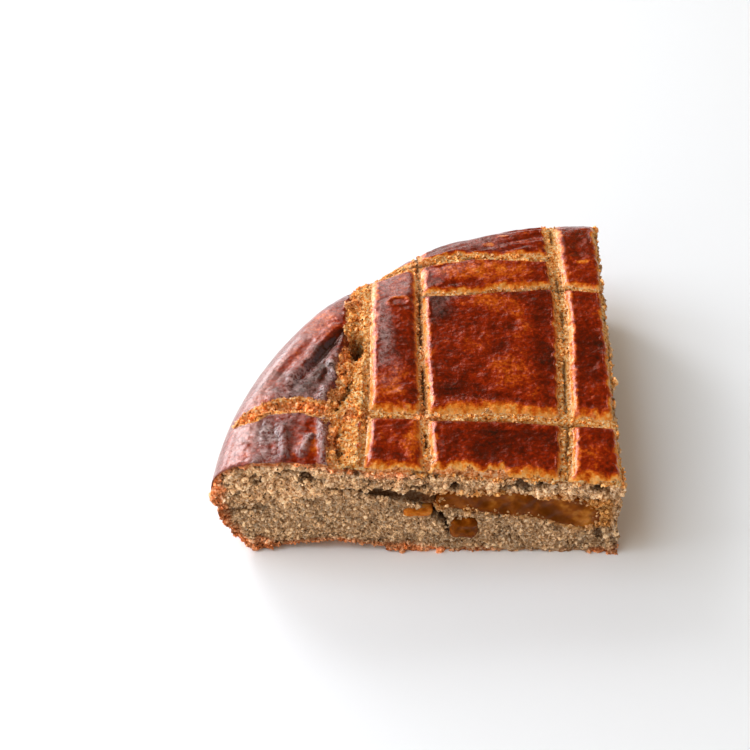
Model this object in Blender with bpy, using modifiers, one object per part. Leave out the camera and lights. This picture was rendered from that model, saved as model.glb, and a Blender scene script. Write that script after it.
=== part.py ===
"""A quarter of a Breton butter cake: two layers of buckwheat crumb with a soft fruit filling between them.

The whole cake is turned, the space for its filling is cut out, and a quarter is kept. The top is then
scored into tiles and torn along one score, and the cut faces are roughened into crumb.

Everything is modelled in millimetres round the middle of the whole cake, which is the tip of the quarter.
u is the distance from the right cut face and v the distance from the front one, so a point of the
quarter is at (-u, v, z). Each finished piece is then set in metres, +Z up, standing on z = 0 with the
origin under the middle of the quarter.
"""

import math

import bmesh
import bpy
from mathutils import Matrix, Vector, noise

METRES = 0.001
TIP_IN_FRAME = (51.8, -52.2)

# The whole cake.
RIM_RADIUS = 105.0
FOOT_RADIUS = 94.5
CROWN_RADIUS = 82.0
CROWN_HEIGHT = 32.4
MIDDLE_HEIGHT = 27.0
WAIST_HEIGHT = 20.5
SHOULDER_POWER = 3.0
SHOULDER_STEPS = 9
SIDE_STEPS = 6
TURN_STEPS = 96
OUT_OF_ROUND = {2.0: 0.012, 4.0: 0.010}

# The space between the layers, as radius and height, and the filling that it holds.
POCKET_FLOOR = ((5.0, 10.6), (9.0, 9.6), (25.0, 13.7), (38.0, 15.4), (50.0, 17.0), (60.0, 18.6))
POCKET_CEILING = ((5.0, 14.0), (8.0, 18.8), (15.0, 20.8), (28.0, 21.9), (40.0, 22.0), (59.0, 22.8))
POCKET_END = ((67.0, 22.9), (68.2, 22.0), (66.5, 20.8))
FILLING_END = 46.5
FILLING_NOSE = 0.9
FILLING_HEIGHT_AT_END = 2.8
FILLING_GAP = 0.5
FILLING_RECESS = 1.3

# Fruit set in the front face: distance from the tip along the face, height, and half sizes.
LUMP_AT = (39.8, 8.9)
LUMP_HALF = (3.4, 4.4, 3.3)
CHIP_AT = (53.2, 16.0)
CHIP_HALF = (2.9, 2.4, 1.1)
FRUIT_PROUD = 0.9
FRUIT_GAP = 0.45
FRUIT_UNEVEN = 0.10
FRUIT_UNEVEN_PITCH = 1.3

# The score lines, as places along a cut face with the line's distance from that face.
SCORE_DEPTH = 3.0
SCORE_HALF_WIDTH = 3.4
SCORE_POWER = 1.5
SCORE_END_RAMP = 1.5
SCORES_FROM_FRONT = (
    ((0, 14.2), (23, 12.8), (60, 11.7), (85, 12.9), (110, 13.2)),
    ((0, 49.9), (20, 51.2), (60, 52.2), (110, 52.4)),
)
SCORES_FROM_RIGHT = (
    ((-4, 19.2), (13, 19.9), (30, 20.7), (50, 19.8), (68, 19.2)),
    ((-4, 69.4), (12, 70.9), (26, 69.6), (38, 68.0), (52, 67.9)),
    ((12.5, 83.4), (38, 84.2), (52, 82.2), (66, 79.4)),
)
SCORE_FADE = (88.0, 101.0)
SCORE_LEFT_AT_RIM = 0.25

# The score that tore open in the oven: its course and its depth, both by distance from the front face.
# Its inner side is one long slope up to a straight edge, and its outer side is steep.
TEAR_COURSE = ((0, 71.5), (10, 72.7), (21, 73.9), (33, 71.8), (42, 70.9), (48, 69.4), (58, 69.4), (82, 67.6))
TEAR_DEPTH = ((0, 2.0), (7, 4.6), (20, 5.2), (34, 5.6), (42, 8.6), (48, 8.2), (55, 5.0), (80, 2.8))
TEAR_INNER_EDGE = 65.4
TEAR_OUTER_WIDTH = 2.8
TEAR_OUTER_POWER = 1.3

# A smaller tear runs from it to the rim, by distance from the right face.
SIDE_TEAR = ((66, 19.2), (74, 20.1), (79, 19.8), (84, 21.7), (90, 21.2), (96, 18.9), (106, 14.8))
SIDE_TEAR_DEPTH = 2.6
SIDE_TEAR_HALF_WIDTH = 3.0
SIDE_TEAR_CRUMB = 1.6

# Folds in the crust above the rim: radius, first and last degree from the front face, depth, half width.
FOLDS = (
    (91.0, 14.0, 38.0, 1.5, 2.6),
    (96.5, 18.0, 33.0, 0.8, 2.0),
    (95.5, 53.0, 84.0, 1.0, 1.9),
    (91.8, 57.0, 79.0, 0.8, 1.7),
)
FOLD_END_RAMP = 6.0
FOLD_WANDER = 1.2
FOLD_WAVES = 9.0

# Unevenness of each surface: (depth, grain) of each scale of bumps.
GLAZE_RELIEF = ((0.35, 9.0), (0.12, 3.2))
TORN_RELIEF = ((0.9, 3.4), (0.6, 1.7))
CRUMB_RELIEF = ((0.9, 4.5), (0.55, 1.9))
RIM_RELIEF = ((0.7, 8.0), (0.5, 3.0))
FOOT_RELIEF = ((1.0, 4.0), (0.6, 1.8))
BASE_RELIEF = ((1.0, 5.5), (0.8, 2.2))
FILLING_RELIEF = ((1.4, 7.0), (0.5, 2.6))

# Where each surface starts and is full: heights, or distances from a cut face or from the middle.
CRUMB_FOLLOWS_TOP_FROM = 22.5
RIM_RAMP = (86.0, 94.0)
SIDE_TOP = (27.0, 21.0)
FOOT_TOP = (9.0, 1.0)
CUT_SKIN = (1.4, 0.0)
FINE_CRUMB = 0.55
FINE_TO_COARSE = (15.0, 20.0)
BASE_EDGE = (3.0, 0.0)
BASE_RIM = (89.0, 94.0)
BASE_TOP = (8.0, 0.0)

# The seam between the layers round the side, and the swell of the lower one beneath it.
SEAM_HEIGHT = 15.2
SEAM_HALF_WIDTH = 1.6
SEAM_DEPTH = 0.9
FOOT_SWELL = 1.1
FOOT_SWELL_FROM = (0.0, 3.0)
FOOT_SWELL_TO = (16.0, 8.0)

# The right face bulges half way along and leans out at the base of the tip.
BULGE = 0.7
BULGE_AT = 50.0
BULGE_HALF_LENGTH = 45.0
LEAN = 1.0
LEAN_HEIGHT = (14.0, 0.0)
LEAN_LENGTH = (18.0, 0.0)

# The base lifts off the table along part of the front face.
LIFT_AT = 74.0
LIFT_HALF_LENGTH = 22.0
LIFT_REACH = 14.0
LIFT_HEIGHT = 3.0
TOUCHES_TABLE = 0.05

# Meshes: the even faces that carry the relief, and the faces that are kept.
CAKE_GRID = 1.0
FILLING_GRID = 0.9
CAKE_FACES = 8000
FILLING_FACES = 1100
FRUIT_FACES = 150
SAME_POINT = 0.001
ON_AXIS = 0.0001
SHARP_DEGREES = 50.0

# Colour and roughness of each piece.
BAKED_CRUST = ((0.24, 0.045, 0.010, 1.0), 0.30)
SOFT_FILLING = ((0.20, 0.062, 0.008, 1.0), 0.20)
FRUIT_PULP = ((0.12, 0.036, 0.007, 1.0), 0.30)
CANDIED_PEEL = ((0.38, 0.13, 0.018, 1.0), 0.25)


# ---------------------------------------------------------------- sums


def ramp(value, start, stop):
    """0 up to start and 1 from stop on, with level ends. Start may be the larger of the two."""
    t = min(1.0, max(0.0, (value - start) / (stop - start)))
    return t * t * (3.0 - 2.0 * t)


def between(knots, at):
    """A curve that eases from knot to knot and stays level past its ends."""
    if at <= knots[0][0]:
        return knots[0][1]
    for (start, low), (stop, high) in zip(knots, knots[1:]):
        if at <= stop:
            return low + (high - low) * ramp(at, start, stop)
    return knots[-1][1]


def bumps(place, relief, seed):
    """Smooth random relief, the same each time for the same seed."""
    offset = Vector((seed, 7.3 * seed, -3.1 * seed))
    return sum(depth * noise.noise(place / grain + offset) for depth, grain in relief)


def groove(distance, half_width):
    """1 at the bottom of a groove, easing to 0 where the rounded tile beside it becomes level."""
    return max(0.0, 1.0 - abs(distance) / half_width) ** SCORE_POWER


# ---------------------------------------------------------------- shape of the cake


def skin_height(radius):
    """Height of the unscored top, which rises from the middle to the crown and rounds over to the rim."""
    if radius <= CROWN_RADIUS:
        return MIDDLE_HEIGHT + (CROWN_HEIGHT - MIDDLE_HEIGHT) * radius / CROWN_RADIUS
    out = min(1.0, (radius - CROWN_RADIUS) / (RIM_RADIUS - CROWN_RADIUS))
    rise = (1.0 - out**SHOULDER_POWER) ** (1.0 / SHOULDER_POWER)
    return WAIST_HEIGHT + (CROWN_HEIGHT - WAIST_HEIGHT) * rise


def cake_profile():
    """Half section of the whole cake, from the middle of the top round the rim to the middle of the base."""
    points = [(0.0, MIDDLE_HEIGHT), (CROWN_RADIUS, CROWN_HEIGHT)]
    for step in range(1, SHOULDER_STEPS):
        turn = math.pi / 2 * step / SHOULDER_STEPS
        radius = CROWN_RADIUS + (RIM_RADIUS - CROWN_RADIUS) * math.sin(turn)
        points.append((radius, skin_height(radius)))
    for step in range(SIDE_STEPS + 1):
        share = 1.0 - step / SIDE_STEPS
        radius = FOOT_RADIUS + (RIM_RADIUS - FOOT_RADIUS) * math.sin(math.pi / 2 * share)
        points.append((radius, WAIST_HEIGHT * share))
    points.append((0.0, 0.0))
    return points


def pocket_profile():
    """Section of the space between the layers, in a closed ring: out along its ceiling and back on its floor."""
    ring = POCKET_CEILING + POCKET_END + POCKET_FLOOR[::-1]
    return [*ring, ring[0]]


def filling_profile():
    """Section of the filling, a little clear of the pocket's walls."""
    ceiling = [(radius, height - FILLING_GAP) for radius, height in POCKET_CEILING if radius < FILLING_END]
    floor = [(radius, height + FILLING_GAP) for radius, height in POCKET_FLOOR if radius < FILLING_END]
    ceiling[0] = (ceiling[0][0] + FILLING_GAP, ceiling[0][1])
    floor[0] = (floor[0][0] + FILLING_GAP, floor[0][1])
    low = between(POCKET_FLOOR, FILLING_END) + FILLING_GAP
    high = low + FILLING_HEIGHT_AT_END
    nose = [(FILLING_END, high), (FILLING_END + FILLING_NOSE, (low + high) / 2), (FILLING_END, low)]
    return ceiling + nose + floor[::-1] + ceiling[:1]


def scores(u, v):
    """Share of the full score depth at a point of the top."""
    depth = max(groove(u - between(course, v), SCORE_HALF_WIDTH) for course in SCORES_FROM_FRONT)
    for course in SCORES_FROM_RIGHT:
        starts = ramp(u, course[0][0] - SCORE_END_RAMP, course[0][0] + SCORE_END_RAMP)
        stops = ramp(u, course[-1][0] + SCORE_END_RAMP, course[-1][0] - SCORE_END_RAMP)
        depth = max(depth, starts * stops * groove(v - between(course, u), SCORE_HALF_WIDTH))
    return depth


def tear(u, v):
    """(depth, share of torn crumb) of the score that opened in the oven and of the one from it to the rim."""
    bottom = between(TEAR_COURSE, v)
    if u < bottom:
        share = ramp(u, TEAR_INNER_EDGE, bottom)
    else:
        share = max(0.0, 1.0 - (u - bottom) / TEAR_OUTER_WIDTH) ** TEAR_OUTER_POWER
    side = groove(v - between(SIDE_TEAR, u), SIDE_TEAR_HALF_WIDTH) if u > SIDE_TEAR[0][0] else 0.0
    depth = max(share * between(TEAR_DEPTH, v), side * SIDE_TEAR_DEPTH)
    return depth, max(share, min(1.0, SIDE_TEAR_CRUMB * side))


def folds(radius, degrees):
    """Depth of the folds in the crust above the rim."""
    wander = FOLD_WANDER * math.sin(math.radians(degrees * FOLD_WAVES))
    depth = 0.0
    for ring, first, last, deep, half_width in FOLDS:
        ends = ramp(degrees, first, first + FOLD_END_RAMP) * ramp(degrees, last, last - FOLD_END_RAMP)
        depth += deep * ends * groove(radius - ring - wander, half_width)
    return depth


def top_relief(u, v):
    """How far the baked top lies below the plain turned one."""
    radius = math.hypot(u, v)
    place = Vector((u, v, 0.0))
    torn_depth, torn = tear(u, v)
    kept = 1.0 - (1.0 - SCORE_LEFT_AT_RIM) * ramp(radius, *SCORE_FADE)
    depth = kept * max(SCORE_DEPTH * scores(u, v), torn_depth)
    depth += folds(radius, math.degrees(math.atan2(v, u)))
    depth += (1.0 - torn) * bumps(place, GLAZE_RELIEF, 1.0)
    return depth + torn * bumps(place, TORN_RELIEF, 2.0)


def side_shift(place, radius, turn):
    """How far the side stands out from the plain turned one: its unevenness, seam and swollen foot."""
    height = place.z
    side = ramp(height, *SIDE_TOP)
    shift = side * bumps(place, RIM_RELIEF, 3.0) + ramp(height, *FOOT_TOP) * bumps(place, FOOT_RELIEF, 4.0)
    swell = ramp(height, *FOOT_SWELL_FROM) * ramp(height, *FOOT_SWELL_TO) * math.cos(turn) ** 2
    shift += FOOT_SWELL * swell - SEAM_DEPTH * groove(height - SEAM_HEIGHT, SEAM_HALF_WIDTH)
    uneven = sum(share * math.sin(waves * turn) for waves, share in OUT_OF_ROUND.items())
    return ramp(radius, *RIM_RAMP) * shift - radius * uneven


def cut_face_shifts(place):
    """How far a point of the front face and one of the right face stand out, where the place is on them."""
    u, v, height = place
    coarse = FINE_CRUMB + (1.0 - FINE_CRUMB) * ramp(height, *FINE_TO_COARSE)
    lean = LEAN * ramp(height, *LEAN_HEIGHT) * ramp(v, *LEAN_LENGTH)
    bulge = BULGE * ramp(abs(v - BULGE_AT), BULGE_HALF_LENGTH, 0.0)
    front = ramp(v, *CUT_SKIN) * coarse * bumps(place, CRUMB_RELIEF, 5.0)
    right = ramp(u, *CUT_SKIN) * (coarse * bumps(place, CRUMB_RELIEF, 6.0) + lean + bulge)
    return front, right


def base_lift(place, radius):
    """How far the base is off the table: along part of the front, and in crumbs round all its edges."""
    u, v, height = place
    lift = LIFT_HEIGHT * ramp(abs(u - LIFT_AT), LIFT_HALF_LENGTH, 0.0) * ramp(v, LIFT_REACH, 0.0)
    edge = max(ramp(v, *BASE_EDGE), ramp(u, *BASE_EDGE), ramp(radius, *BASE_RIM))
    lift += edge * max(0.0, bumps(place, BASE_RELIEF, 8.0))
    return lift * ramp(height, *BASE_TOP)


def cake_point(point):
    """The place on the baked and cut cake of a point of the plain turned quarter."""
    place = Vector((-point.x, point.y, point.z))
    u, v, height = place
    radius, turn = math.hypot(u, v), math.atan2(v, u)
    skin = max(skin_height(radius), CRUMB_FOLLOWS_TOP_FROM + 1.0)
    sunk = ramp(height, CRUMB_FOLLOWS_TOP_FROM, skin) * top_relief(max(0.0, u), max(0.0, v))
    grown = radius + side_shift(place, radius, turn)
    front, right = cut_face_shifts(place)
    lifted = height - sunk + base_lift(place, radius)
    return Vector((-grown * math.cos(turn) + right, grown * math.sin(turn) - front, lifted))


def table_point(point):
    """A point that is down on the table, or all but, is set exactly on it."""
    return Vector((point.x, point.y, 0.0 if point.z < TOUCHES_TABLE else point.z))


def filling_point(point):
    """The filling's cut faces swell and dip softly. The rest of it stays clear of its pocket."""
    place = Vector((-point.x, point.y, point.z))
    skin_start, skin_full = (edge + FILLING_RECESS for edge in CUT_SKIN)
    soft = bumps(place, FILLING_RELIEF, 9.0)
    front, right = (soft * ramp(distance, skin_start, skin_full) for distance in (place.y, place.x))
    return point + Vector((right, -front, 0.0))


# ---------------------------------------------------------------- modelling


def clear_scene():
    for obj in list(bpy.data.objects):
        bpy.data.objects.remove(obj, do_unlink=True)


def new_collection(name, helper=False):
    collection = bpy.data.collections.new(name)
    collection.hide_render = helper
    bpy.context.scene.collection.children.link(collection)
    return collection


def move_to(obj, collection):
    for holder in list(obj.users_collection):
        holder.objects.unlink(obj)
    collection.objects.link(obj)


def applied(obj):
    """The object with its modifiers applied."""
    graph = bpy.context.evaluated_depsgraph_get()
    obj.data = bpy.data.meshes.new_from_object(obj.evaluated_get(graph))
    obj.modifiers.clear()
    return obj


def welded(obj):
    """The object with its seams closed and its faces pointing out."""
    cage = bmesh.new()
    cage.from_mesh(obj.data)
    bmesh.ops.remove_doubles(cage, verts=cage.verts, dist=SAME_POINT)
    bmesh.ops.recalc_face_normals(cage, faces=cage.faces)
    cage.to_mesh(obj.data)
    cage.free()
    return obj


def turned(name, profile, collection):
    """A solid turned about Z from its profile of radius and height."""
    mesh = bpy.data.meshes.new(name)
    edges = [(index, index + 1) for index in range(len(profile) - 1)]
    mesh.from_pydata([(radius, 0.0, height) for radius, height in profile], edges, [])
    obj = bpy.data.objects.new(name, mesh)
    collection.objects.link(obj)
    screw = obj.modifiers.new("turn", "SCREW")
    screw.steps = screw.render_steps = TURN_STEPS
    screw.use_merge_vertices = True
    screw.merge_threshold = ON_AXIS
    return welded(applied(obj))


def quarter_box(collection, recess=0.0):
    """A box over the quarter, drawn in from both of its cut faces by the recess."""
    reach = 2.0 * RIM_RADIUS
    bpy.ops.mesh.primitive_cube_add(size=reach)
    box = bpy.context.active_object
    box.name = "quarter_box"
    box.display_type = "WIRE"
    box.data.transform(Matrix.Translation((-reach / 2 - recess, reach / 2 + recess, 0.0)))
    move_to(box, collection)
    return box


def cut(obj, cutter, operation="DIFFERENCE"):
    """One Boolean, applied, after which the cutter is removed."""
    boolean = obj.modifiers.new(operation.lower(), "BOOLEAN")
    boolean.operation = operation
    boolean.solver = "EXACT"
    boolean.object = cutter
    applied(obj)
    bpy.data.objects.remove(cutter, do_unlink=True)
    return obj


def even_faces(obj, size):
    """Square faces of one size all over, fine enough to carry the relief."""
    grid = obj.modifiers.new("even faces", "REMESH")
    grid.mode = "VOXEL"
    grid.voxel_size = size
    return applied(obj)


def fewer_faces(obj, count):
    """About this many triangles, which gather where the surface bends."""
    obj.data.calc_loop_triangles()
    fewer = obj.modifiers.new("fewer faces", "DECIMATE")
    fewer.ratio = min(1.0, count / len(obj.data.loop_triangles))
    fewer.use_collapse_triangulate = True
    return applied(obj)


def moved_by(obj, rule):
    """The object with each of its points where the rule puts it."""
    for vertex in obj.data.vertices:
        vertex.co = rule(vertex.co)
    return obj


def in_frame(obj):
    """The finished piece in metres, in its place round the origin of the frame."""
    obj.data.transform(Matrix.Translation((*TIP_IN_FRAME, 0.0)))
    obj.data.transform(Matrix.Scale(METRES, 4))
    return obj


def finished(obj, look):
    """The object in its own colour, smooth but for its sharp edges."""
    colour, roughness = look
    material = bpy.data.materials.new(obj.name)
    material.use_nodes = True
    shader = material.node_tree.nodes["Principled BSDF"]
    shader.inputs["Base Color"].default_value = colour
    shader.inputs["Roughness"].default_value = roughness
    shader.inputs["Metallic"].default_value = 0.0
    material.diffuse_color = colour
    obj.data.materials.clear()
    obj.data.materials.append(material)
    obj.data.shade_smooth()
    obj.data.set_sharp_from_angle(angle=math.radians(SHARP_DEGREES))
    return obj


# ---------------------------------------------------------------- pieces


def fruit_shape(name, at, half, collection, swollen=0.0):
    """A rounded uneven piece set into the front face, or its socket, which is swollen by the gap round it."""
    bpy.ops.mesh.primitive_cube_add(size=2.0)
    piece = bpy.context.active_object
    piece.name = name
    move_to(piece, collection)
    rounding = piece.modifiers.new("rounding", "SUBSURF")
    rounding.levels = rounding.render_levels = 2
    applied(piece)
    along, height = at
    widest = max(vertex.co.x for vertex in piece.data.vertices)
    size = Vector([(extent + swollen) / widest for extent in half])
    middle = Vector((-along, half[1] - FRUIT_PROUD, height))
    seed = Vector((along, 0.0, height))

    def place(point):
        return middle + (1.0 + FRUIT_UNEVEN * noise.noise(point * FRUIT_UNEVEN_PITCH + seed)) * point * size

    return moved_by(piece, place)


def make_cake(collection, cutters):
    cake = turned("cake", cake_profile(), collection)
    cut(cake, turned("pocket", pocket_profile(), cutters))
    cut(cake, quarter_box(cutters), "INTERSECT")
    moved_by(even_faces(cake, CAKE_GRID), cake_point)
    moved_by(fewer_faces(cake, CAKE_FACES), table_point)
    cut(cake, fruit_shape("lump_socket", LUMP_AT, LUMP_HALF, cutters, FRUIT_GAP))
    cut(cake, fruit_shape("chip_socket", CHIP_AT, CHIP_HALF, cutters, FRUIT_GAP))
    return finished(in_frame(cake), BAKED_CRUST)


def make_filling(collection, cutters):
    filling = turned("filling", filling_profile(), collection)
    cut(filling, quarter_box(cutters, FILLING_RECESS), "INTERSECT")
    moved_by(even_faces(filling, FILLING_GRID), filling_point)
    return finished(in_frame(fewer_faces(filling, FILLING_FACES)), SOFT_FILLING)


def make_fruit(name, at, half, collection, look):
    fruit = fewer_faces(fruit_shape(name, at, half, collection), FRUIT_FACES)
    return finished(in_frame(fruit), look)


def main():
    clear_scene()
    pieces = new_collection("breton_butter_cake")
    cutters = new_collection("cutters", helper=True)
    make_cake(pieces, cutters)
    make_filling(pieces, cutters)
    make_fruit("fruit_lump", LUMP_AT, LUMP_HALF, pieces, FRUIT_PULP)
    make_fruit("fruit_chip", CHIP_AT, CHIP_HALF, pieces, CANDIED_PEEL)


main()
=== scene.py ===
"""A quarter of a Breton butter cake on a white table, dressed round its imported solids.

The cake is modelled in millimetres round the middle of the whole cake, which is the tip of the quarter.
u is the distance from the right cut face and v the distance from the front one, so a point of the
quarter is at (-u, v, z). Finished pieces are then set in the frame, in metres.
"""

import itertools
import math
from collections import namedtuple

import bmesh
import bpy
import numpy as np
from mathutils import Matrix, Vector


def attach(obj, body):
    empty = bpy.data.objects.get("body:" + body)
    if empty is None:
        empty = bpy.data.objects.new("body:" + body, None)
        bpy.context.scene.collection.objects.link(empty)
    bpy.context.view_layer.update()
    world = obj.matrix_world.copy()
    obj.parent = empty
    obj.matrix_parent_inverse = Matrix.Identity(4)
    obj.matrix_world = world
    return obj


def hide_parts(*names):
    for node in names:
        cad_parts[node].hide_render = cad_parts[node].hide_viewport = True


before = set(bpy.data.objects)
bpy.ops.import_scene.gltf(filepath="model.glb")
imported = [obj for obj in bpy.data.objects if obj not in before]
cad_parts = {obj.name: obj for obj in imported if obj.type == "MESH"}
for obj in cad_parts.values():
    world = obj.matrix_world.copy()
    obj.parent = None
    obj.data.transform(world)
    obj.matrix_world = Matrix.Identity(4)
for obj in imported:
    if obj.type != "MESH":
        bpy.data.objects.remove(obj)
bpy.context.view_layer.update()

METRES = 0.001
TIP_IN_FRAME = (51.8, -52.2)

# The whole cake.
RIM_RADIUS = 105.0
FOOT_RADIUS = 94.5
CROWN_RADIUS = 82.0
CROWN_HEIGHT = 32.4
MIDDLE_HEIGHT = 27.0
WAIST_HEIGHT = 20.5
SHOULDER_POWER = 3.0
SHOULDER_STEPS = 18
SIDE_STEPS = 12
TURN_STEPS = 192
OUT_OF_ROUND = {2.0: 0.012, 4.0: 0.010}

# The space between the layers, as radius and height, and the filling that it holds.
POCKET_FLOOR = ((5.0, 10.6), (9.0, 9.6), (25.0, 13.7), (38.0, 15.4), (50.0, 17.0), (60.0, 18.6))
POCKET_CEILING = ((5.0, 14.0), (8.0, 18.8), (15.0, 20.8), (28.0, 21.9), (40.0, 22.0), (59.0, 22.8))
POCKET_END = ((67.0, 22.9), (68.2, 22.0), (66.5, 20.8))
FILLING_END = 46.5
FILLING_NOSE = 0.9
FILLING_HEIGHT_AT_END = 3.4
FILLING_OVERLAP = 0.5
FILLING_RECESS = 0.25
HOLLOW_DEPTH = 2.6

# Fruit set in the front face: distance from the tip along the face, height, and half sizes.
LUMP_AT = (39.8, 8.9)
LUMP_HALF = (3.6, 4.4, 3.3)
CHIP_AT = (51.9, 15.1)
CHIP_HALF = (3.5, 2.4, 0.8)
FRUIT_PROUD = 0.9
FRUIT_SQUARENESS = 5.0
FRUIT_OVERLAP = 0.25
FRUIT_ROUNDINGS = 5

# One score line. Its course is a distance from one cut face by distance from the other. Each pair is for its
# side towards the tip and for its other side: how far it rounds off the tiles, how far bare crumb shows, and
# how wide the pale edge of the glaze is. Depth is that of the bare crumb, and slit that of the knife's cut.
Score = namedtuple("Score", "course reach crumb fade depth slit")
SCORES_FROM_FRONT = (
    Score(
        ((0, 14.2), (23, 12.8), (60, 11.7), (85, 12.9), (110, 13.2)),
        (3.9, 3.2), (1.3, 1.9), (2.6, 1.1), 1.6, 0.9,
    ),
    Score(((0, 49.9), (20, 51.2), (60, 52.2), (110, 52.4)), (3.9, 3.0), (0.9, 1.1), (2.7, 1.2), 1.6, 1.6),
    Score(((0, 66.4), (80, 66.4)), (3.5, 1.0), (0.5, 1.0), (2.7, 1.0), 1.5, 0.35),
    Score(((0, -1.0), (110, -0.8)), (1.0, 3.4), (0.0, 1.4), (1.0, 1.4), 1.1, 0.0),
)
SCORES_FROM_RIGHT = (
    Score(
        ((-4, 19.2), (13, 19.9), (30, 20.7), (50, 19.8), (68, 19.2)),
        (2.6, 5.2), (0.6, 2.4), (0.9, 3.0), 1.4, 1.8,
    ),
    Score(
        ((-4, 69.4), (12, 70.9), (26, 69.6), (38, 68.0), (52, 67.9)),
        (2.0, 3.0), (0.4, 0.9), (0.8, 2.2), 1.0, 1.3,
    ),
    Score(
        ((12.5, 83.4), (38, 84.2), (52, 82.2), (66, 79.4)),
        (2.6, 3.0), (1.7, 2.1), (1.2, 1.2), 1.4, 1.4,
    ),
    Score(((-4, -2.6), (70, -2.6)), (1.0, 6.6), (0.0, 3.3), (1.0, 3.0), 1.4, 0.0),
    Score(((29, -2.6), (49, -2.6)), (1.0, 6.6), (0.0, 4.7), (1.0, 2.2), 1.2, 0.0),
)
GROOVE_POWER = 1.5
TILE_EDGE_POWER = 2.6
SCORE_END_RAMP = 1.5
SCORE_FADE = (88.0, 101.0)
SCORE_LEFT_AT_RIM = 0.25
TILE_RISE = 0.35

# The score that tore open in the oven: its course and its depth, both by distance from the front face.
TEAR_COURSE = ((0, 71.5), (10, 72.7), (21, 73.9), (33, 71.8), (42, 70.9), (48, 69.4), (58, 69.4), (82, 67.6))
TEAR_DEPTH = ((0, 1.2), (7, 1.9), (20, 2.1), (38, 2.2), (43, 5.0), (48, 6.5), (52, 2.6), (80, 1.2))
TEAR_INNER_EDGE = 65.4
TEAR_OUTER_WIDTH = 4.6
TEAR_OUTER_POWER = 1.3

# A smaller tear runs from it to the rim, by distance from the right face.
SIDE_TEAR = ((66, 19.2), (74, 20.1), (79, 19.8), (84, 21.7), (90, 21.2), (96, 18.9), (106, 14.8))
SIDE_TEAR_DEPTH = 2.6
SIDE_TEAR_HALF_WIDTH = 3.8
TEAR_PIT = ((69.4, 48.4), 3.4, 5.4)
TEAR_PIT_DEPTH = 3.6
TEAR_CRACKS = (((74.4, 22.0), (71.2, 33.0)), ((74.0, 12.5), (72.0, 2.0)), ((72.0, 36.0), (73.4, 41.0)))
TEAR_CRACK_DEPTH = 1.8

# Folds in the crust above the rim: radius, first and last degree from the front face, depth, half width.
FOLDS = (
    (91.0, 14.0, 38.0, 1.5, 2.6),
    (96.5, 18.0, 33.0, 0.8, 2.0),
    (95.5, 53.0, 84.0, 1.0, 1.9),
    (91.8, 57.0, 79.0, 0.8, 1.7),
)
FOLD_END_RAMP = 6.0
FOLD_WANDER = 1.2
FOLD_WAVES = 9.0

# Where the glaze ends on the side: its height by the front face, how much lower it hangs further round, and
# the width of its faded edge.
HEM_HEIGHT = 20.0
HEM_DROP = 5.0
HEM_WIDTH = 5.0

# A dip in the rim: its middle and reach in degrees from the front face, how far the top sinks there, and how
# far the side draws in, as a share of the radius.
RIM_DIP_AT = 51.0
RIM_DIP_REACH = 13.0
RIM_DIP_DEPTH = 1.0
RIM_DIP_SHARE = 0.011

# Ridges where the skin curled up, beside the tear and on the corner tile.
CURLS = (
    ((77.9, 14.5), (76.2, 3.0)),
    ((77.4, 28.0), (78.6, 23.2)),
    ((76.6, 39.5), (75.8, 34.0)),
    ((87.6, 12.0), (85.8, 2.4)),
    ((80.6, 9.5), (81.8, 3.0)),
)
CURL_HEIGHT = 0.95
CURL_HALF_WIDTH = 1.7

# The broken ring that a burst blister left.
BLISTER_AT = (58.5, 64.2)
BLISTER_RADIUS = 2.5
BLISTER_HEIGHT = 0.30

# Cracks and holes in the front face: from, to, half width and depth, by distance from the tip and height.
FRONT_CRACKS = (
    ((50.5, 18.0), (47.2, 14.2), 1.8, 3.0),
    ((47.2, 14.2), (44.2, 11.6), 1.3, 2.8),
    ((45.2, 12.6), (43.8, 7.0), 0.9, 2.0),
    ((92.0, 15.4), (101.5, 14.8), 0.9, 1.2),
    ((3.4, 23.9), (7.2, 24.6), 1.2, 2.6),
    ((66.0, 21.8), (75.0, 23.4), 0.9, 1.4),
    ((79.0, 25.6), (81.5, 28.0), 1.2, 1.8),
    ((83.0, 28.4), (88.5, 28.0), 0.9, 1.2),
    ((17.0, 25.7), (22.5, 25.3), 1.3, 2.2),
    ((28.0, 25.3), (30.0, 25.0), 1.0, 1.6),
    ((40.5, 25.2), (43.5, 24.6), 1.2, 2.0),
    ((49.0, 24.4), (52.0, 23.8), 1.1, 1.6),
    ((4.2, 5.5), (4.8, 9.5), 1.0, 1.4),
)

# The base arches off the table along the front face, and a crease runs round the side.
ARCH_AT = 74.0
ARCH_REACH = 22.0
ARCH_HEIGHT = 3.0
CREASE_HEIGHT = 15.2
CREASE_HALF_WIDTH = 1.6
CREASE_DEPTH = 0.9

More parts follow.
